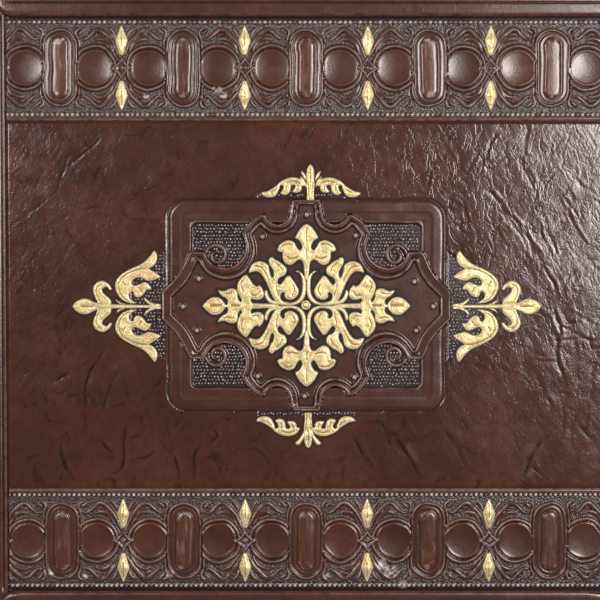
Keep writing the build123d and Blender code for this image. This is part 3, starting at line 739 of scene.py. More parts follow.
# Shader nodes
class Shader:
    """A procedural material with one main shader, in millimetres of the object."""

    def __init__(self, name):
        self.material = bpy.data.materials.new(name)
        self.material.use_nodes = True
        self.tree = self.material.node_tree
        self.tree.nodes.clear()
        self.main = self.tree.nodes.new("ShaderNodeBsdfPrincipled")
        self.node("OutputMaterial", {"Surface": self.main.outputs["BSDF"]})
        inputs = {0: self.node("TexCoord", {})["Object"], "Scale": 1 / mm}
        self.place = self.node("VectorMath", inputs, operation="SCALE")["Vector"]

    def node(self, kind, inputs, **settings):
        """The outputs of a new node with some settings, and values or links in its sockets."""
        node = self.tree.nodes.new("ShaderNode" + kind)
        for name, value in settings.items():
            setattr(node, name, value)
        for socket, value in inputs.items():
            self.put(node.inputs[socket], value)
        return node.outputs

    def put(self, socket, value):
        """A value or another node's result, into a socket."""
        if isinstance(value, bpy.types.NodeSocket):
            self.tree.links.new(value, socket)
        else:
            socket.default_value = value

    def set(self, **values):
        """Sockets of the main shader."""
        for name, value in values.items():
            self.put(self.main.inputs[name.replace("_", " ")], value)

    def stretched(self, x, y, z, place=None):
        """Coordinates that are stretched along the axes."""
        inputs = {0: place or self.place, 1: (x, y, z)}
        return self.node("VectorMath", inputs, operation="MULTIPLY")["Vector"]

    def rotated(self, turn_deg):
        """Coordinates that are turned about the upright axis."""
        inputs = {"Vector": self.place, "Rotation": (0, 0, radians(turn_deg))}
        return self.node("Mapping", inputs)["Vector"]

    def noise(self, size, detail=3.0, rough=0.55, warp=0.0, place=None):
        """Cloudy noise of a size."""
        inputs = {"Vector": place or self.place, "Scale": 1 / size, "Detail": detail,
                  "Roughness": rough, "Distortion": warp}
        return self.node("TexNoise", inputs)["Fac"]

    def cells(self, size, place=None):
        """Distance from the middles of random cells of a size."""
        inputs = {"Vector": place or self.place, "Scale": 1 / size}
        return self.node("TexVoronoi", inputs)["Distance"]

    def warped(self, size, amount):
        """Coordinates that are pushed about by noise."""
        inputs = {"Vector": self.place, "Scale": 1 / size, "Detail": 2.0}
        push = self.node("TexNoise", inputs)["Color"]
        push = self.node("VectorMath", {0: push, "Scale": amount}, operation="SCALE")["Vector"]
        return self.node("VectorMath", {0: push, 1: self.place})["Vector"]

    def along(self, axis):
        """Distance along an axis."""
        return self.node("SeparateXYZ", {"Vector": self.place})[axis]

    def mask(self, name):
        """A mask of the mesh."""
        return self.node("Attribute", {}, attribute_name=name)["Fac"]

    def math(self, operation, a, b=0.5):
        """Two values in one."""
        return self.node("Math", {0: a, 1: b}, operation=operation)["Value"]

    def times(self, a, b):
        return self.math("MULTIPLY", a, b)

    def plus(self, a, b):
        return self.math("ADD", a, b)

    def minus(self, a, b):
        return self.math("SUBTRACT", a, b)

    def apart(self, a, b):
        """How far a value is from another."""
        return self.math("ABSOLUTE", self.minus(a, b))

    def ramp(self, value, low, high, start=0.0, end=1.0):
        """A value taken smoothly from one range to another."""
        inputs = {"Value": value, "From Min": low, "From Max": high, "To Min": start, "To Max": end}
        return self.node("MapRange", inputs, interpolation_type="SMOOTHSTEP")["Result"]

    def mix(self, share, a, b):
        """Two colours in one."""
        a, b = ((*c, 1.0) if isinstance(c, tuple) else c for c in (a, b))
        return self.node("Mix", {"Factor": share, 6: a, 7: b}, data_type="RGBA")[2]

    def bump(self, height, depth, normal=None):
        """A bump of a depth in millimetres, on another one if asked."""
        inputs = {"Distance": depth * mm, "Height": height}
        if normal:
            inputs["Normal"] = normal
        return self.node("Bump", inputs)["Normal"]


# Colours of the leather, from its skin to its wear, with painted shade and highlights, and of the
# gold and the paper
red_brown, warm_brown, deep_brown = ((0.052, 0.0190, 0.0137), (0.083, 0.0275, 0.0170),
                                     (0.035, 0.0136, 0.0106))
# Blacks of painted shade in creases and hollows, and of dark stain with painted shade round raised
# parts
crease_shade_black, hollow_shade_black, stain_black = ((0.016, 0.0075, 0.0066), (0.010, 0.0065, 0.0062),
                                           (0.0140, 0.0100, 0.0130))
dark_ground, pale_ground = (0.019, 0.0124, 0.0110), (0.046, 0.0310, 0.0275)
# Wear colours; the pale one and the white also stand in for painted highlights and glints
worn_brown, wear_and_highlight_pale, rub_and_glint_white = (0.170, 0.082, 0.062), (0.32, 0.235, 0.21), (0.58, 0.50, 0.48)
scuff_red, scuff_pale = (0.090, 0.0290, 0.0170), (0.25, 0.155, 0.12)
# The rim gold is a painted highlight along the edges of the gilding
deep_gold, pale_gold, rim_highlight_gold = (0.62, 0.455, 0.205), (0.74, 0.605, 0.32), (0.88, 0.79, 0.54)
line_gold, speck_gold = (0.25, 0.160, 0.065), (0.20, 0.125, 0.055)
scratch_gold, bare_wall = (0.30, 0.20, 0.095), (0.030, 0.016, 0.013)
foxing = (0.36, 0.22, 0.11)


def leather_material(name, relief=True):
    """Glossy dark-brown leather; where there is relief, worn crests with painted highlights and
    hollows with painted shade.
    """
    s = Shader(name)
    crinkle = s.mask("crinkle") if relief else 1.0
    blotch = s.ramp(s.noise(38), 0.35, 0.68)
    mottle = s.ramp(s.noise(2.6, 5, 0.65), 0.32, 0.7)
    colour = s.mix(blotch, red_brown, warm_brown)
    colour = s.mix(s.times(mottle, 0.45), colour, deep_brown)
    rough = s.plus(s.ramp(s.noise(6, 4), 0.3, 0.75, 0.16, 0.235),
                   s.times(s.minus(1.0, crinkle), 0.085))
    # Network of thin crease lines, painted dark as shade and bumped slightly
    web = s.apart(s.noise(12.0, 2, 0.5, 1.2, s.stretched(1.0, 0.6, 1.0, s.rotated(20))), 0.5)
    web = s.times(s.ramp(web, 0.0, 0.030, 1.0, 0.0), s.ramp(s.noise(9.0), 0.42, 0.60))
    web = s.times(web, crinkle)
    colour = s.mix(s.times(web, 0.60), colour, crease_shade_black)
    if relief:
        crest, ground, scuff, shine = (s.mask(m) for m in ("crest", "ground", "scuff", "shine"))
        worn = s.times(s.ramp(crest, 0.3, 2.4), s.ramp(s.noise(3.2, 4), 0.3, 0.62))
        colour = s.mix(s.times(worn, 0.5), colour, worn_brown)
        # Pale worn crests, which also stand in for painted highlights along the edges
        wear_and_highlight = s.times(s.ramp(crest, 1.1, 3.0), s.ramp(s.noise(2.6, 4), 0.28, 0.66))
        wear_and_highlight = s.times(wear_and_highlight, s.ramp(crinkle, 0.15, 0.28, 0.6, 0.0))
        colour = s.mix(wear_and_highlight, colour, wear_and_highlight_pale)
        # Painted shade: hollows and crease valleys darkened towards black
        hollow = s.times(s.ramp(s.mask("hollow"), 0.2, 2.4), 0.85)
        colour = s.mix(hollow, colour, hollow_shade_black)
        grit = s.ramp(s.noise(0.9, 4, 0.7), 0.36, 0.62)
        colour = s.mix(ground, colour, s.mix(grit, dark_ground, pale_ground))
        # Dark stain, with painted shade round the gilding, between the beads and in recesses
        colour = s.mix(s.mask("stain"), colour, stain_black)
        streak = s.ramp(s.noise(0.9, 4, 0.6, place=s.stretched(1.0, 0.12, 1.0)), 0.50, 0.68)
        colour = s.mix(s.times(scuff, 0.8), colour, scuff_red)
        colour = s.mix(s.times(scuff, s.times(streak, 0.65)), colour, scuff_pale)
        # Painted glints on beads, studs and pebbles, and pale rub marks, lightened towards white
        colour = s.mix(s.times(shine, 0.8), colour, rub_and_glint_white)
        rough = s.times(rough, s.ramp(shine, 0.0, 1.0, 1.0, 0.6))
        rough = s.plus(rough, s.times(ground, 0.08))
    s.set(Base_Color=colour, Roughness=rough, IOR=1.46, Coat_Weight=0.12, Coat_Roughness=0.12)
    normal = s.bump(s.cells(0.62, s.warped(1.2, 0.5)), 0.014)
    right = s.ramp(s.along("X"), -30, 60)
    left_folds = s.noise(1.7, 4, 0.48, 0.4, s.stretched(0.5, 1.0, 1.0, s.rotated(-50)))
    right_folds = s.noise(1.5, 4, 0.48, 0.3, s.stretched(0.33, 1.0, 1.0, s.rotated(66)))
    folds = s.plus(s.times(left_folds, s.minus(1.2, s.times(right, 1.2))),
                   s.times(right_folds, right))
    up = s.times(crinkle, s.ramp(s.along("Y"), -48, 8, 0.3, 1.0))
    normal = s.bump(s.times(folds, up), 0.06, normal)
    waves = s.noise(7.0, 3, 0.5, 0.5, s.stretched(0.5, 1.0, 1.0, s.rotated(60)))
    normal = s.bump(s.times(waves, crinkle), 0.14, normal)
    lines = s.apart(s.noise(5.0, 3, 0.55, 0.8, s.stretched(1.0, 0.7, 1.0)), 0.5)
    lines = s.times(s.ramp(lines, 0.0, 0.06), s.plus(s.times(right, 0.6), 0.4))
    normal = s.bump(s.times(lines, up), 0.023, normal)
    normal = s.bump(s.minus(1.0, web), 0.012, normal)
    if relief:
        normal = s.bump(s.times(s.cells(0.75), ground), 0.19, normal)
    s.set(Normal=normal)
    return s.material


def gold_material():
    """Pale gold leaf on tooled leather: rims painted with highlights, dull specks and scratches,
    bare walls.
    """
    s = Shader("gold_leaf")
    inset = s.mask("inset")
    colour = s.mix(s.ramp(s.noise(5, 4), 0.3, 0.72), deep_gold, pale_gold)
    # Painted highlight: a bright band just inside each outline
    rim = s.times(s.ramp(inset, 0.12, 0.26), s.ramp(inset, 0.42, 0.80, 1.0, 0.0))
    colour = s.mix(s.times(rim, 0.75), colour, rim_highlight_gold)
    edge = s.ramp(s.apart(inset, 0.86), 0.04, 0.17, 1.0, 0.0)
    edge = s.times(edge, s.ramp(s.noise(2.4), 0.44, 0.56))
    line = s.math("MAXIMUM", s.times(edge, 0.7), s.ramp(s.mask("vein"), 0.05, 0.30, 0.85, 0.0))
    colour = s.mix(line, colour, line_gold)
    speck = s.ramp(s.noise(0.8, 5, 0.7), 0.58, 0.66)
    colour = s.mix(s.times(speck, 0.75), colour, speck_gold)
    scratch = s.ramp(s.noise(0.7, 3, 0.6, 0.4, s.stretched(0.3, 1.0, 1.0)), 0.64, 0.72)
    colour = s.mix(s.times(scratch, 0.5), colour, scratch_gold)
    colour = s.mix(s.ramp(inset, 0.0, 0.08, 1.0, 0.0), colour, bare_wall)
    metal = s.ramp(inset, 0.0, 0.08, 0.0, 0.40)
    rough = s.ramp(s.noise(2.0, 4), 0.3, 0.75, 0.26, 0.46)
    normal = s.bump(s.noise(1.5, 5, 0.6), 0.16)
    normal = s.bump(s.minus(1.0, line), 0.10, normal)
    normal = s.bump(s.cells(0.5), 0.04, normal)
    s.set(Base_Color=colour, Metallic=metal, Roughness=rough, IOR=1.5, Normal=normal)
    return s.material


def paper_material(name, light, dark, leaf=None):
    """Aged card or paper, with fibres, and the edges of its leaves if their thickness is given."""
    block_foot, block_top = (6.6, 6.8), (48.2, 48.4)
    s = Shader(name)
    height = s.noise(0.6, 5, 0.7, place=s.stretched(0.25, 0.25, 1.0))
    colour = s.mix(s.ramp(s.noise(45, 4), 0.28, 0.78), light, dark)
    fibre = s.times(s.ramp(height, 0.45, 0.7), 0.35)
    colour = s.mix(fibre, colour, tuple(0.6 * c for c in dark))
    spots = s.ramp(s.noise(4.5, 6, 0.75), 0.66, 0.76)
    colour = s.mix(s.times(spots, 0.4), colour, foxing)
    if leaf:
        up = s.along("Z")
        side = s.times(s.ramp(up, *block_foot), s.ramp(up, *block_top, 1.0, 0.0))
        height = s.times(s.noise(1.0, 3, 0.6, place=s.stretched(0.02, 0.02, 1 / leaf)), side)
        colour = s.mix(s.ramp(height, 0.48, 0.66, 0.0, 0.55), colour, tuple(0.45 * c for c in dark))
    s.set(Base_Color=colour, Roughness=0.78, Normal=s.bump(height, 0.15))
    return s.material


leather = leather_material("embossed_leather")
plain_leather = leather_material("plain_leather", False)
gold = gold_material()
board_paper = paper_material("mill_board", (0.30, 0.24, 0.17), (0.22, 0.17, 0.12))
lining_paper = paper_material("lining_paper", (0.69, 0.61, 0.47), (0.645, 0.555, 0.415))
leaf_card = paper_material("leaf_card", (0.71, 0.62, 0.46), (0.655, 0.55, 0.39), 0.35)


# Leather of the field
def stained(x, y, names, reach):
    """Dark stain and painted shade round the gilded relief."""
    best = np.full(x.shape, 50.0)
    for name in names:
        for run in gilt_runs[name]:
            near = near_run(x, y, run, 3)
            best[near] = np.minimum(best[near], away(x[near], y[near], run[::2], True))
    return ease(reach, 0.35 * reach, best)


def outer_stain(x, y):
    """Dark stain and painted shade round the palmettes and the crests."""
    return 0.6 * stained(x, y, ("palmettes", "crests"), 0.7)


def pebble_zones(x, y):
    """Pebbled grounds beside the medallion and under its crests."""
    side_start, side_end, end_start, end_end = 49.6, 61.5, 36.6, 38.9
    u, v = np.abs(x), np.abs(y)
    slope = 19.0 - 0.55 * (u - side_start) - v
    side = ease(-0.3, 0.4, np.minimum(np.minimum(u - side_start, side_end - u), slope))
    end = ease(-0.3, 0.3, np.minimum(np.minimum(v - end_start, end_end - v), 17.0 - u))
    return np.maximum(side, end)


def field_relief(xs, ys):
    """Heights of the plain field, its pebbled grounds and the shade of its creases."""
    x, y = np.meshgrid(xs, ys)
    z = 0.06 * noise(x, y, 17, 21) + 0.035 * noise(x, y, 6, 22) + 0.012 * noise(x, y, 2.4, 23)
    for u, v, size in blisters:
        (bx, by), = on_cover([(u, v)])
        swell = 1 - ((x - bx) ** 2 + (y - by) ** 2) / (size * pixel) ** 2
        z = z + 0.10 * np.maximum(swell, 0) ** 1.5
    zone = pebble_zones(x, y)
    depth, fold = creased(xs, ys)
    z = z - depth * (1 - zone)
    edge = np.minimum(tile_x - np.abs(x), band_middle - band_half - np.abs(y))
    z = z - 0.45 * ease(0.9, 0.1, edge)
    z = z - 0.12 * zone
    return z, zone, fold * (1 - zone)


def spaced(*stops):
    """Sorted places from stretches given as start, end and spacing."""
    runs = [np.linspace(a, b, max(2, int(round((b - a) / step)) + 1)) for a, b, step in stops]
    return np.unique(np.round(np.concatenate(runs), 6))


def make_field():
    """Crinkled leather between the bands, in four pieces round the medallion."""
    edge = band_middle - band_half
    side_step, end_step = 0.42, 0.5
    for name, box, step in (("left", (-tile_x, -recess_x, -edge, edge), side_step),
                            ("right", (recess_x, tile_x, -edge, edge), side_step),
                            ("head", (-recess_x, recess_x, recess_y, edge), end_step),
                            ("tail", (-recess_x, recess_x, -edge, -recess_y), end_step)):
        xs, ys = spaced((box[0], box[1], step)), spaced((box[2], box[3], step))
        z, zone, fold = field_relief(xs, ys)
        stain = np.maximum(outer_stain(*np.meshgrid(xs, ys)), 0.9 * zone)
        slab("front_field_" + name, xs, ys, z,
             leather_masks(z, stain=stain, crinkle=1 - zone, fold=fold))


# Leather of the bands: sections of a slot from its edge inwards and of a dish from its middle
slot_profile = np.array([
    (-0.3, -0.60), (0.0, -0.35), (0.2, 0.05), (0.45, 0.24), (0.75, 0.10), (1.0, -0.26),
    (1.45, -0.30), (1.75, -0.20), (2.2, -0.15), (2.6, -0.18), (2.85, -0.30), (3.15, -0.30),
    (3.4, 0.04), (3.7, 0.27), (4.5, 0.41), (6.2, 0.45),
])
dish_profile = np.array([
    (0.0, -0.36), (1.5, -0.335), (3.0, -0.26), (4.4, -0.14), (5.3, -0.04), (5.7, 0.04), (6.0, 0.17),
    (6.25, 0.04), (6.5, -0.26), (6.75, -0.26), (7.1, 0.22), (7.5, 0.40), (7.9, 0.20), (8.15, -0.2),
    (8.4, -0.60),
])
panel_profile = np.array([(-0.5, 0), (0.0, -0.1), (0.25, 0.45), (0.7, 0.95), (1.3, 1.14),
                          (2.2, 1.2)])
# Strokes of the bands: places from a slot's middle, half width, height, share of it at the ends
band_strokes = [
    ([(21.0, 3.6), (19.6, 6.6), (18.5, 8.8), (16.8, 10.9), (15.1, 12.6), (13.8, 13.3), (12.4, 13.0),
      (11.2, 11.9), (9.8, 10.6), (8.6, 9.9), (7.6, 10.1)], 0.85, 1.0, 0.35),
    ([(18.8, 5.4), (17.9, 7.4), (16.8, 9.1), (15.0, 10.0), (13.2, 10.1), (11.9, 9.5)],
     0.95, 0.8, 0.2),
    ([(6.4, 10.6), (5.9, 12.0), (6.3, 13.3), (7.2, 13.6)], 0.55, 0.9, 0.6),
    ([(8.8, 13.4), (7.8, 12.6), (7.0, 11.8)], 0.5, 0.8, 0.3),
    ([(7.1, 5.2), (6.8, 7.2), (6.7, 9.4), (6.4, 10.8)], 0.42, 0.9, 0.8),
    ([(17.6, 13.8), (18.8, 12.4), (19.4, 10.8)], 0.6, 0.8, 0.3),
    ([(14.6, 11.6), (13.2, 11.7), (12.2, 11.2)], 0.4, 0.75, 0.3),
    ([(20.6, 3.6), (20.3, 5.6), (20.0, 8.4)], 0.3, 0.7, 0.5),
]
# White rub marks and painted glints of the bands: pixel of the photograph and radius in millimetres
rub_and_glint_marks = {
    head_seed: [(215, 90, 1.6), (218, 90, 1.6), (223, 95, 1.6), (145, 31, 1.4), (113, 37, 1.1),
                (59, 42, 1.3), (146, 96, 1.3)],
    tail_seed: [(391, 573, 3.0), (383, 566, 2.2), (404, 587, 2.2), (168, 577, 1.5), (48, 577, 1.4),
                (82, 579, 1.3), (326, 578, 1.3)],
}
# Scuffs of the slots, from the left
slot_scuffs = {head_seed: (1.7, 0.6, 0.5, 1.0, 0.9), tail_seed: (0.45, 0.7, 0.5, 0.5, 0.4)}


def end_panel(x, y):
    """How far each place lies inside an end panel, and the height of its rounded border."""
    middle = (panel_inner + panel_outer) / 2
    panel = soft_box(x, np.abs(y) - middle, panel_x, (panel_outer - panel_inner) / 2, panel_corner)
    return panel, np.interp(panel, *panel_profile.T)


def band_relief(xs, ys, seed):
    """Heights and masks of a band, where y runs outwards from its middle."""
    x, y = np.meshgrid(xs, ys)
    wx, wy = x + 0.26 * noise(x, y, 4, seed), y + 0.26 * noise(x, y, 4, seed + 1)
    u = np.abs((wx + pitch / 2) % pitch - pitch / 2)
    v = np.abs(wy)
    z = band_floor + 0.05 * noise(x, y, 0.7, seed + 2) + 0.04 * noise(x, y, 1.6, seed + 3)
    uneven = 0.85 + 0.3 * noise(x, y, 4, seed + 7)
    for run, half_width, height, ends in band_strokes:
        z = np.maximum(z, stroke(u, v, run, half_width, height * uneven, band_floor, ends))
    r = np.hypot(u - dish_at, v)
    dish = np.maximum(np.interp(r, *dish_profile.T), np.where(r > dish_radius - 0.8, z, -2))
    z = np.where(r < dish_radius, dish, z)
    star = 1 - (np.abs(u - star_at) / star_x) ** star_bend - (v / star_y) ** star_bend
    diamond = (-0.3 + 0.75 * ease(0.0, 0.10, star) - 0.42 * ease(0.20, 0.32, star)
               + 0.45 * ease(0.55, 0.72, star))
    z = np.where(star > 0, np.maximum(z, diamond), z)
    depth = slot_half_width - np.hypot(u, np.maximum(v - slot_half_length + slot_half_width, 0))
    z = np.where(depth > -0.05, np.interp(depth, *slot_profile.T), z)
    ornament = ease(band_floor + 0.1, band_floor + 0.3, z) + (r < 8.2) + (depth > 0) + (star > 0)
    shine = np.zeros_like(z)
    for row in bead_rows:
        along = (x + 0.3 * row) % bead_pitch - bead_pitch / 2
        bead = bead_radius**2 - along**2 - (y - row) ** 2
        # Painted glints on the bead tops, brighter on some beads than on others
        lot = noise(x - along, 0 * y + row, 1.3, seed + 5)
        shine = np.where(np.abs(y - row) < 0.9, ease(-0.75, 0.55, lot), shine)
        dome = band_floor + 0.2 + (0.95 + 0.25 * lot) * np.sqrt(np.maximum(bead, 0))
        z = np.where(bead > 0, np.maximum(z, dome), z)
    ledge = soft_box(x, y - ledge_at, 200, ledge_half, 0.3)
    z = np.where(ledge > 0, 0.16 * ease(0, 0.45, ledge) - 0.30 * ease(0.45, 0, ledge), z)
    z = np.where(y > gutter_at, -0.72 + 0.1 * ease(gutter_at + 0.6, gutter_at, y), z)
    z = np.where(np.abs(x) > tile_x - 0.5, np.minimum(z, -0.4), z)
    panel, rise = end_panel(x, y + band_middle)
    z = np.where(panel > -0.1, rise, z)
    beads = ease(1.0, 0.7, np.minimum(*(np.abs(y - row) for row in bead_rows)))
    ground = np.clip(1 - ornament, 0, 1) * (y > -16.9) * (y < 16.5) * (1 - beads)
    # Painted glints and pale rubs: bead tops, a faint outline of the star, worn slot ends and rub
    # marks
    shine = shine * beads * ease(band_floor + 0.35, band_floor + 0.7, z)
    shine = shine + 0.15 * (star > 0.02) * (star < 0.2)
    scuffs = np.array(slot_scuffs[seed])[np.clip(np.round(x / pitch).astype(int) + 2, 0, 4)]
    ends = ease(6.6, 9.6, v) * (depth > 3.3) * ease(0.0, 0.5, noise(x, y, 1.1, seed + 6))
    shine = np.maximum(shine, 0.5 * scuffs * ends)
    for mark_u, mark_v, radius in rub_and_glint_marks[seed]:
        (mark_x, mark_y), = on_cover([(mark_u, mark_v)])
        rub_glint = ease(1.0, 0.5, np.hypot(x - mark_x, y + band_middle - abs(mark_y)) / radius)
        rub_glint = rub_glint * ease(-0.6, 0.1, noise(x, y, 0.9, seed + 8))
        shine = np.maximum(shine, rub_glint * ease(band_floor - 0.1, band_floor + 0.2, z))
    # Painted shade between the beads and along the gutter by the end panel
    between = beads * ease(band_floor + 0.4, band_floor + 0.15, z)
    stain = 0.7 * np.maximum(ease(16.4, 16.7, y) * (panel < 0.1), between)
    return z, {"ground": ground, "crinkle": np.where(panel > 0, 0.3, 0.12), "shine": shine,
               "scuff": scuffs * ease(3.2, 3.6, depth), "stain": stain}


def make_band(name, outward, seed):
    """Embossed band at the head or the tail."""
    columns, rows, play = 672, 118, 0.05
    xs = np.linspace(-tile_x, tile_x, columns)
    along = np.linspace(-band_half + play, band_half - play, rows)
    z, masks = band_relief(xs, along, seed)
    ys = along + band_middle
    if outward < 0:
        ys, z = -ys[::-1], z[::-1]
        masks = {mask: values[::-1] for mask, values in masks.items()}
    return slab(name, xs, ys, z, masks)


# Leather of the medallion: sections of its cushion and of the rim of its sunk panel from their
# edges inwards, and of the straps from their outer to their inner edge
cushion_profile = np.array([
    (-0.9, 0), (-0.3, -0.25), (0.0, -0.1), (0.5, 0.46), (1.2, 0.62), (3.9, 0.66), (4.3, 0.60),
    (4.7, 0.56), (7.0, 0.56), (7.4, 0.48),
])
rim_profile = np.array([(-0.2, 0.45), (0.0, 0.52), (0.25, 0.70), (0.5, 0.48), (0.8, -0.20),
                        (1.0, sunk_floor)])
scroll_profile = np.array([
    (0, 0.10), (0.05, 1.00), (0.11, 1.25), (0.18, 1.12), (0.34, 1.10), (0.42, 0.95), (0.49, 0.42),
    (0.60, 0.36), (0.66, 0.66), (0.73, 0.98), (0.80, 1.04), (0.88, 0.88), (0.94, 0.40),
    (1.0, -0.05),
])
strap_profile = np.array([
    (0, 0.10), (0.05, 1.00), (0.11, 1.25), (0.18, 1.08), (0.5, 1.00), (0.8, 0.92), (0.88, 1.04),
    (0.94, 0.72), (1.0, -0.05),
])


def medallion_relief(xs, ys):
    """Heights and masks of the medallion and the field just round it."""
    x, y = np.meshgrid(xs, ys)
    z, zone, fold = field_relief(xs, ys)
    wx, wy = x + 0.14 * noise(x, y, 6, 41), y + 0.14 * noise(x, y, 6, 42)
    u, v = np.abs(wx), np.abs(wy)
    inside = soft_box(wx, wy, *medallion_box)
    cushion = np.interp(inside, *cushion_profile.T) + 0.06 * noise(x, y, 5, 44)
    z = np.where(inside > -0.9, cushion, z)
    panel = soft_box(wx, wy, *sunk_box)
    z = np.where(panel > -0.2, np.interp(panel, *rim_profile.T), z)
    in0, in1 = within(u, v, strap_inner), within(u, v, strap_outer)
    edge0, edge1 = away(u, v, strap_inner_edge[::2]), away(u, v, strap_outer_edge[::2])
    share = edge1 / (edge0 + edge1 + 1e-6)
    scroll, flat = (np.interp(share, *profile.T) for profile in (scroll_profile, strap_profile))
    bent = ease(40.5, 37.5, u) * ease(35.2, 33.6, v)
    z = np.where(in1 & ~in0, bent * scroll + (1 - bent) * flat, z)
    z = np.where(in0, 0.03 * noise(x, y, 9, 43) - 0.05, z)
    near = (~in1) & (panel > 0.3)
    curl = stroke(u, v, volute, 0.85, 1.05, sunk_floor)
    z = np.where(near, np.maximum(z, curl), z)
    shine = np.zeros_like(z)
    for stud_x, stud_y in studs:
        ball = 1.1 - (x - stud_x) ** 2 - (y - stud_y) ** 2
        z = np.where(ball > 0, np.maximum(z, 0.9 * np.sqrt(np.maximum(ball, 0))), z)
        # Painted glint on each stud
        shine = np.maximum(shine, 0.5 * ease(0.9, 0.3, np.hypot(x - stud_x, y - stud_y)))
    dark = np.clip(near * ease(0.6, 0.9, panel) * ease(0.3, 0.0, curl - sunk_floor), 0, 1)
    dark = np.maximum(dark, zone * (inside < -0.3) * ~in1)
    stain = np.maximum(stained(x, y, ("rosette",), 1.2), outer_stain(x, y))
    return z, leather_masks(z, stain=np.maximum(stain, 0.9 * dark), shine=shine,
                            crinkle=np.where((inside < -0.5) & ~in1, 1 - zone, 0.12),
                            fold=fold * (inside < -0.9) * ~in1)


def make_medallion():
    """Embossed medallion with strapwork."""
    columns, rows = 334, 256
    xs = np.linspace(-recess_x, recess_x, columns)
    ys = np.linspace(-recess_y, recess_y, rows)
    return slab("front_medallion", xs, ys, *medallion_relief(xs, ys))


# Frame of the front cover, and the back cover: inset and level of the section below the outer face
cover_section = ((0, 3.4), (0, 0.7), (0.2, 0.2), (0.7, 0), (8, 0), (turn_in, 0),
                 (turn_in, board_foot), (board_side, board_foot), (board_side, board_top))


def rounded_corner(x, y):
    """Grid places with the corners of the cover drawn in to their radius."""
    cx, cy = cover_x - cover_corner, cover_y - cover_corner
    u, v = np.abs(x) - cx, np.abs(y) - cy
    corner = (u > 0) & (v > 0)
    scale = np.where(corner, np.maximum(u, v) / np.maximum(np.hypot(u, v), 1e-9), 1)
    return (np.where(corner, np.sign(x) * (cx + u * scale), x),
            np.where(corner, np.sign(y) * (cy + v * scale), y))


def cover_ring(inset, z, ring):
    """The outline of a cover, set in by a distance, at a level."""
    flat = ring.copy()
    for axis, half in ((0, cover_x), (1, cover_y)):
        flat[:, axis] *= (half - inset) / half
    flat[:, 2] = z
    return flat


def make_cover(name, xs, ys, relief, crinkle, body, node, to_frame):
    """Leather round a board: relief outside, rounded edges and turn-ins inside."""
    columns, rows = len(xs), len(ys)
    x, y = np.meshgrid(xs, ys)
    inset = soft_box(x, y, cover_x, cover_y, cover_corner)
    t = np.clip(1 - inset / edge_round, 0, 1)
    fall = edge_round * (1 - np.sqrt(np.maximum(1 - t * t, 0)))
    z = cover_thickness + relief - fall
    crests, hollows = steep(relief, xs, ys)
    points = np.stack([*rounded_corner(x, y), z], axis=-1).reshape(-1, 3)
    faces = grid_faces(columns, rows)
    rim = border(columns, rows)
    ring = points[rim]
    for inset_at, level in cover_section:
        below = list(range(len(points), len(points) + len(rim)))
        points = np.vstack([points, cover_ring(inset_at, level, ring)])
        faces += wall_faces(rim, below)
        rim = below
    faces.append(rim[::-1])
    masks = leather_masks(z, crest=crests, hollow=hollows, crinkle=np.full(z.shape, crinkle))
    piece = mesh_piece(name, to_frame(points), faces, body, leather,
                       lengthened(masks, len(points) - columns * rows))
    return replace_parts(piece, node)


def make_front_frame():
    """End panels, rails and edges of the front cover, with a pocket under the other leather."""
    side = (104.6, 111.0, 0.22)
    panel_line = 4.9
    xs = spaced((-side[1], -side[0], side[2]), (-side[0], side[0], 2.6), side)
    ys = spaced((-138, -131, 0.28), (-131, -107, 1.6), (-107, -101, 0.25), (-101, 101, 2.5),
                (101, 107, 0.25), (107, 131, 1.6), (131, 138, 0.28))
    x, y = np.meshgrid(xs, ys)
    panel, z = end_panel(x, y)
    z = z - 0.28 * ease(0.45, 0.05, np.abs(panel - panel_line))
    rail = np.abs(np.abs(x) - rail_x)
    ridge = 0.7 * np.sqrt(np.maximum(1 - (rail / rail_half) ** 2, 0))
    z = np.where((np.abs(y) < panel_inner + 0.6) & (rail < rail_half), np.maximum(z, ridge), z)
    groove = ease(0.5, 0.1, np.abs(np.abs(x) - rail_x - 1.1))
    z = z - 0.25 * groove * (np.abs(y) < panel_inner + 0.4)
    pocket = (np.abs(x) < tile_x + 0.05) & (np.abs(y) < band_middle + band_half - 0.02)
    z = np.where(pocket, slab_foot - 0.05 - field, z)
    return make_cover("front_frame", xs, ys, z, 0.3, "front_cover", "front_leather",
                      lambda p: p + [0, 0, front_bottom])


def make_back():
    """Plain leather of the back cover with two tooled lines."""
    tooled_lines = (12.4, 16.4)
    xs = spaced((-111, -108, 0.3), (-108, -93, 0.4), (-93, 93, 3), (93, 108, 0.4), (108, 111, 0.3))
    ys = spaced((-138, -135, 0.3), (-135, -120, 0.4), (-120, 120, 3), (120, 135, 0.4),
                (135, 138, 0.3))
    x, y = np.meshgrid(xs, ys)
    inset = np.minimum(cover_x - np.abs(x), cover_y - np.abs(y))
    z = np.zeros_like(x)
    for line in tooled_lines:
        z = z - 0.45 * ease(0.6, 0.1, np.abs(inset - line))
    return make_cover("back_leather_dressed", xs, ys, z, 1.0, "back_cover", "back_leather",
                      lambda p: p * [-1, 1, -1] + [0, 0, cover_thickness])


# Gilded relief
def gilt_seeds(run, veins):
    """Places of the points of one ornament, and the tooled lines in it."""
    low, high = run.min(0), run.max(0)
    columns = np.arange(low[0], high[0], gilt_spacing)
    rows = np.arange(low[1], high[1], gilt_spacing * 0.866)
    x, y = np.meshgrid(columns, rows)
    x = x + (np.arange(len(rows)) % 2)[:, None] * gilt_spacing / 2
    x, y = x.ravel(), y.ravel()
    inner = within(x, y, run)
    x, y = x[inner], y[inner]
    far = away(x, y, run, True) > 0.55 * gilt_spacing
    x, y = x[far], y[far]
    lines = []
    for line in veins:
        inner = within(*line.T, run) & (away(*line.T, run, True) > 0.3)
        if inner.sum() > 2:
            lines.append(line[inner])
    for line in lines:
        far = away(x, y, line) > 0.5 * gilt_spacing
        x, y = x[far], y[far]
    return np.vstack([run, np.stack([x, y], axis=-1), *lines]), lines


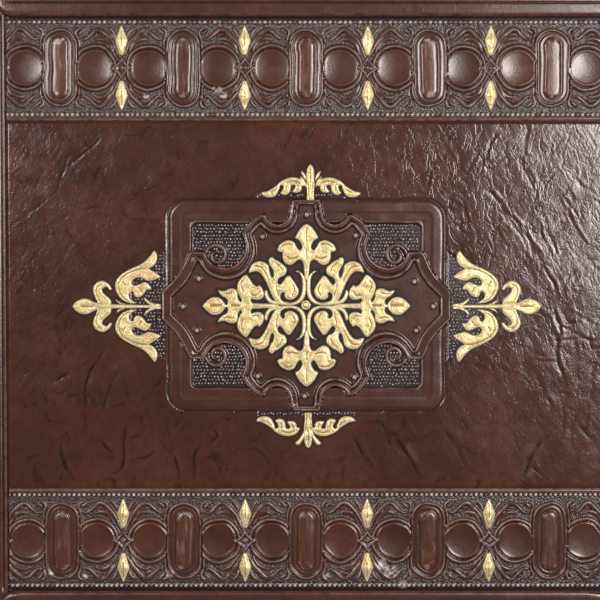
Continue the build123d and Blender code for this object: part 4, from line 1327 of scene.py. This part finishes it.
def gilt_piece(name, runs, foot, height, roof=0.0, veins=()):
    """One piece of gilded ornaments, each a rounded relief over its outline."""
    first_seed = 70
    points, faces, inset, vein = [], [], [], []
    for number, run in enumerate(runs):
        count = len(run)
        seeds, lines = gilt_seeds(run, veins)
        edges = [(k, (k + 1) % count) for k in range(count)]
        made, _, triangles, *_ = delaunay_2d_cdt([Vector(p) for p in seeds], edges, [], 1, 1e-5)
        made = np.array([(p[0], p[1]) for p in made])
        x, y = made.T
        triangles = [t for t in triangles if len(set(t)) == 3]
        centres = np.array([made[list(t)].mean(0) for t in triangles])
        inside = within(*centres.T, run)
        d = away(x, y, run, True)
        swell = np.sqrt(np.maximum(1 - (1 - np.minimum(d / 0.8, 1)) ** 2, 0))
        z = foot + gilt_wall + (height - gilt_wall) * swell + roof * np.minimum(d, 2.2)
        z = z + 0.10 * noise(x, y, 1.9, first_seed + number) * np.minimum(d, 1)
        close = np.full(len(made), no_vein)
        for line in lines:
            close = np.minimum(close, away(x, y, line))
        z = z - 0.16 * ease(0.5, 0.0, close)
        base, start = len(points), len(points) + len(made)
        points += [(*place, up) for place, up in zip(made, z)]
        points += [(*place, foot - gilt_root) for place in run]
        inset += [*d, *np.zeros(count)]
        vein += [*close, *np.full(count, no_vein)]
        faces += [[base + k for k in t] for t, ok in zip(triangles, inside) if ok]
        rim, floor = list(range(base, base + count)), list(range(start, start + count))
        area = sum(a[0] * b[1] - b[0] * a[1] for a, b in zip(run, np.roll(run, -1, axis=0)))
        way = 1 if area > 0 else -1
        faces += [wall[::way] for wall in wall_faces(rim, floor)] + [floor[::-way]]
    masks = {"inset": inset, "vein": vein}
    piece = mesh_piece(name, points, faces, "front_cover", gold, masks, 50)
    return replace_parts(piece, "front_gilding")


# Middles of the slots' gaps in both bands, with the way that each gilded leaf points
leaf_places = [(place, end * band_middle, side) for end in (1, -1)
               for place in np.arange(-1.5, 2) * pitch for side in (1, -1)]


def band_leaf_runs():
    """Outlines of the gilded leaves of both bands."""
    stretches = [offsets(stretch) for stretch in whole(band_leaf_half, axis_u=0)]
    shape = closed_run(stretches, outline_step)
    return [shape * [1, side] + [x, y + side * 4.3] for x, y, side in leaf_places]


def band_leaf_lines():
    """Midribs of the gilded leaves of both bands."""
    return [smooth_run([(x, y + side * 8.0), (x, y + side * 13.0)], vein_step)
            for x, y, side in leaf_places]


# Pebbles of the sunk grounds
def make_pebbles():
    """Small domes in rows on the pebbled grounds of the medallion and round it."""
    rng = np.random.default_rng(5)
    gap, row_gap, sides = 1.08, 1.18, 6
    rings, top = ((0.45, 0.0), (0.38, 0.30), (0.21, 0.48)), 0.52
    xs, ys = np.arange(-62, 62, gap), np.arange(-38, 39, row_gap)
    x, y = np.meshgrid(xs, ys)
    x = x + (np.arange(len(ys)) % 2)[:, None] * gap / 2
    x, y = x.ravel(), y.ravel()
    x, y = x + rng.normal(0, 0.15, x.shape), y + rng.normal(0, 0.12, y.shape)
    u, v = np.abs(x), np.abs(y)
    panel = soft_box(x, y, *sunk_box) > 1.2
    zone = (pebble_zones(x, y) > 0.7) & (soft_box(x, y, *medallion_box) < -0.8)
    keep = ~within(u, v, strap_outer) & (away(u, v, volute) > 0.9) & (panel | zone)
    for run in gilt_runs["palmettes"] + gilt_runs["crests"]:
        near = near_run(x, y, run, 1)
        clear = away(x[near], y[near], run, True) > 0.35
        keep[near] &= ~within(x[near], y[near], run) & clear
    foot = np.where(panel, -0.32, -0.16)
    points, faces, shine = [], [], []
    for px, py, pz in zip(x[keep], y[keep], foot[keep]):
        size = rng.uniform(0.75, 1.12)
        # Painted glint on each pebble's top ring and tip
        shine += [0.0] * sides + [0.1] * sides + [rng.uniform(0.3, 1.0)] * (sides + 1)
        base = len(points)
        for radius, height in rings:
            for turn in (k * pi / 3 for k in range(sides)):
                points.append((px + size * radius * cos(turn), py + size * radius * sin(turn),
                               field + pz + size * height))
        points.append((px, py, field + pz + size * top))
        for k in range(sides):
            n = (k + 1) % sides
            for low in (base, base + sides):
                faces.append([low + k, low + n, low + sides + n, low + sides + k])
            faces.append([base + 2 * sides + k, base + 2 * sides + n, base + 3 * sides])
        faces.append(list(range(base, base + sides))[::-1])
    none = np.zeros(len(points))
    masks = leather_masks(none, crest=none, hollow=none, crinkle=none, stain=none + 0.8,
                          shine=shine)
    piece = mesh_piece("front_pebbles", points, faces, "front_cover", leather, masks, 80)
    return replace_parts(piece, "front_leather")


make_field()
make_band("front_band_head", 1, head_seed)
make_band("front_band_tail", -1, tail_seed)
make_medallion()
make_front_frame()
make_back()
make_pebbles()

button = (-0.1, 0.14)
button_edge = np.array(arc(button, 1.75, 0, 352))
button_line = np.array(arc(button, 1.0, 0, 360, 24))
gilt_piece("gilt_rosette", gilt_runs["rosette"] + [button_edge], field - 0.05, 0.85,
           veins=rosette_veins + [button_line])
gilt_piece("gilt_palmettes", gilt_runs["palmettes"], field - 0.05, 0.85, veins=palmette_veins)
gilt_piece("gilt_crests", gilt_runs["crests"], field - 0.05, 0.8, veins=crest_lines)
gilt_piece("gilt_band_leaves", band_leaf_runs(), field - 0.6, 0.55, 0.36, band_leaf_lines())

for node, material in (("page_block", leaf_card), ("spine_leather", plain_leather),
                       ("spine_board", board_paper), ("front_board", board_paper),
                       ("back_board", board_paper), ("front_pastedown", lining_paper),
                       ("back_pastedown", lining_paper)):
    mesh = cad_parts[node].data
    mesh.materials.clear()
    mesh.materials.append(material)


# Stage
def make_floor():
    """Wide pale floor with a fine mottle."""
    size, level = 4.0, -0.0002
    s = Shader("pale_floor")
    tone = s.ramp(s.noise(60), 0.3, 0.7)
    s.set(Base_Color=s.mix(tone, (0.80, 0.79, 0.77), (0.84, 0.83, 0.81)), Roughness=0.85)
    mesh = bpy.data.meshes.new("floor")
    corners = [(-size, -size), (size, -size), (size, size), (-size, size)]
    mesh.from_pydata([(x, y, level) for x, y in corners], [], [(0, 1, 2, 3)])
    mesh.materials.append(s.material)
    floor = bpy.data.objects.new("floor", mesh)
    bpy.context.scene.collection.objects.link(floor)


def make_lamp(name, place, target, size, power):
    """Square soft lamp that faces a target."""
    light = bpy.data.lights.new(name, "AREA")
    light.size = size
    light.energy = power
    light.color = (1.0, 0.955, 0.92)
    lamp = bpy.data.objects.new(name, light)
    lamp.location = place
    lamp.rotation_euler = (Vector(target) - Vector(place)).to_track_quat("-Z", "Y").to_euler()
    bpy.context.scene.collection.objects.link(lamp)


def make_camera():
    """Camera over the cover, tilted a little as in the photograph."""
    sensor, distance, width = 36, 0.65, 0.2105
    camera = bpy.data.cameras.new("camera")
    camera.sensor_width = sensor
    camera.lens = sensor * distance / width
    view = bpy.data.objects.new("camera", camera)
    target = Vector((-0.00216, 0.00191, field * mm))
    up, across = radians(2.3), radians(-0.16)
    way = Vector((sin(across) * cos(up), sin(up), cos(across) * cos(up)))
    view.location = target + distance * way
    view.rotation_euler = (-up, across, 0)
    bpy.context.scene.collection.objects.link(view)
    bpy.context.scene.camera = view


def make_world():
    """Pale surround that is darker overhead."""
    world = bpy.data.worlds.new("studio")
    world.use_nodes = True
    tree = world.node_tree
    back = tree.nodes["Background"]
    back.inputs["Color"].default_value = (1.0, 0.985, 0.97, 1.0)
    coordinates = tree.nodes.new("ShaderNodeTexCoord")
    split = tree.nodes.new("ShaderNodeSeparateXYZ")
    tree.links.new(coordinates.outputs["Generated"], split.inputs["Vector"])
    fade = tree.nodes.new("ShaderNodeMapRange")
    for socket, value in (("From Min", 0.1), ("From Max", 0.95),
                          ("To Min", 0.22), ("To Max", 0.04)):
        fade.inputs[socket].default_value = value
    tree.links.new(split.outputs["Z"], fade.inputs["Value"])
    tree.links.new(fade.outputs["Result"], back.inputs["Strength"])
    bpy.context.scene.world = world


make_floor()
make_lamp("lamp_right", (0.415, 0.125, 0.90), (0.02, 0.02, 0.05), 0.32, 8.2)
make_lamp("lamp_left", (-0.425, 0.17, 0.80), (-0.02, 0.02, 0.05), 0.24, 3.4)
make_camera()
make_world()
bpy.context.scene.view_settings.view_transform = "Standard"
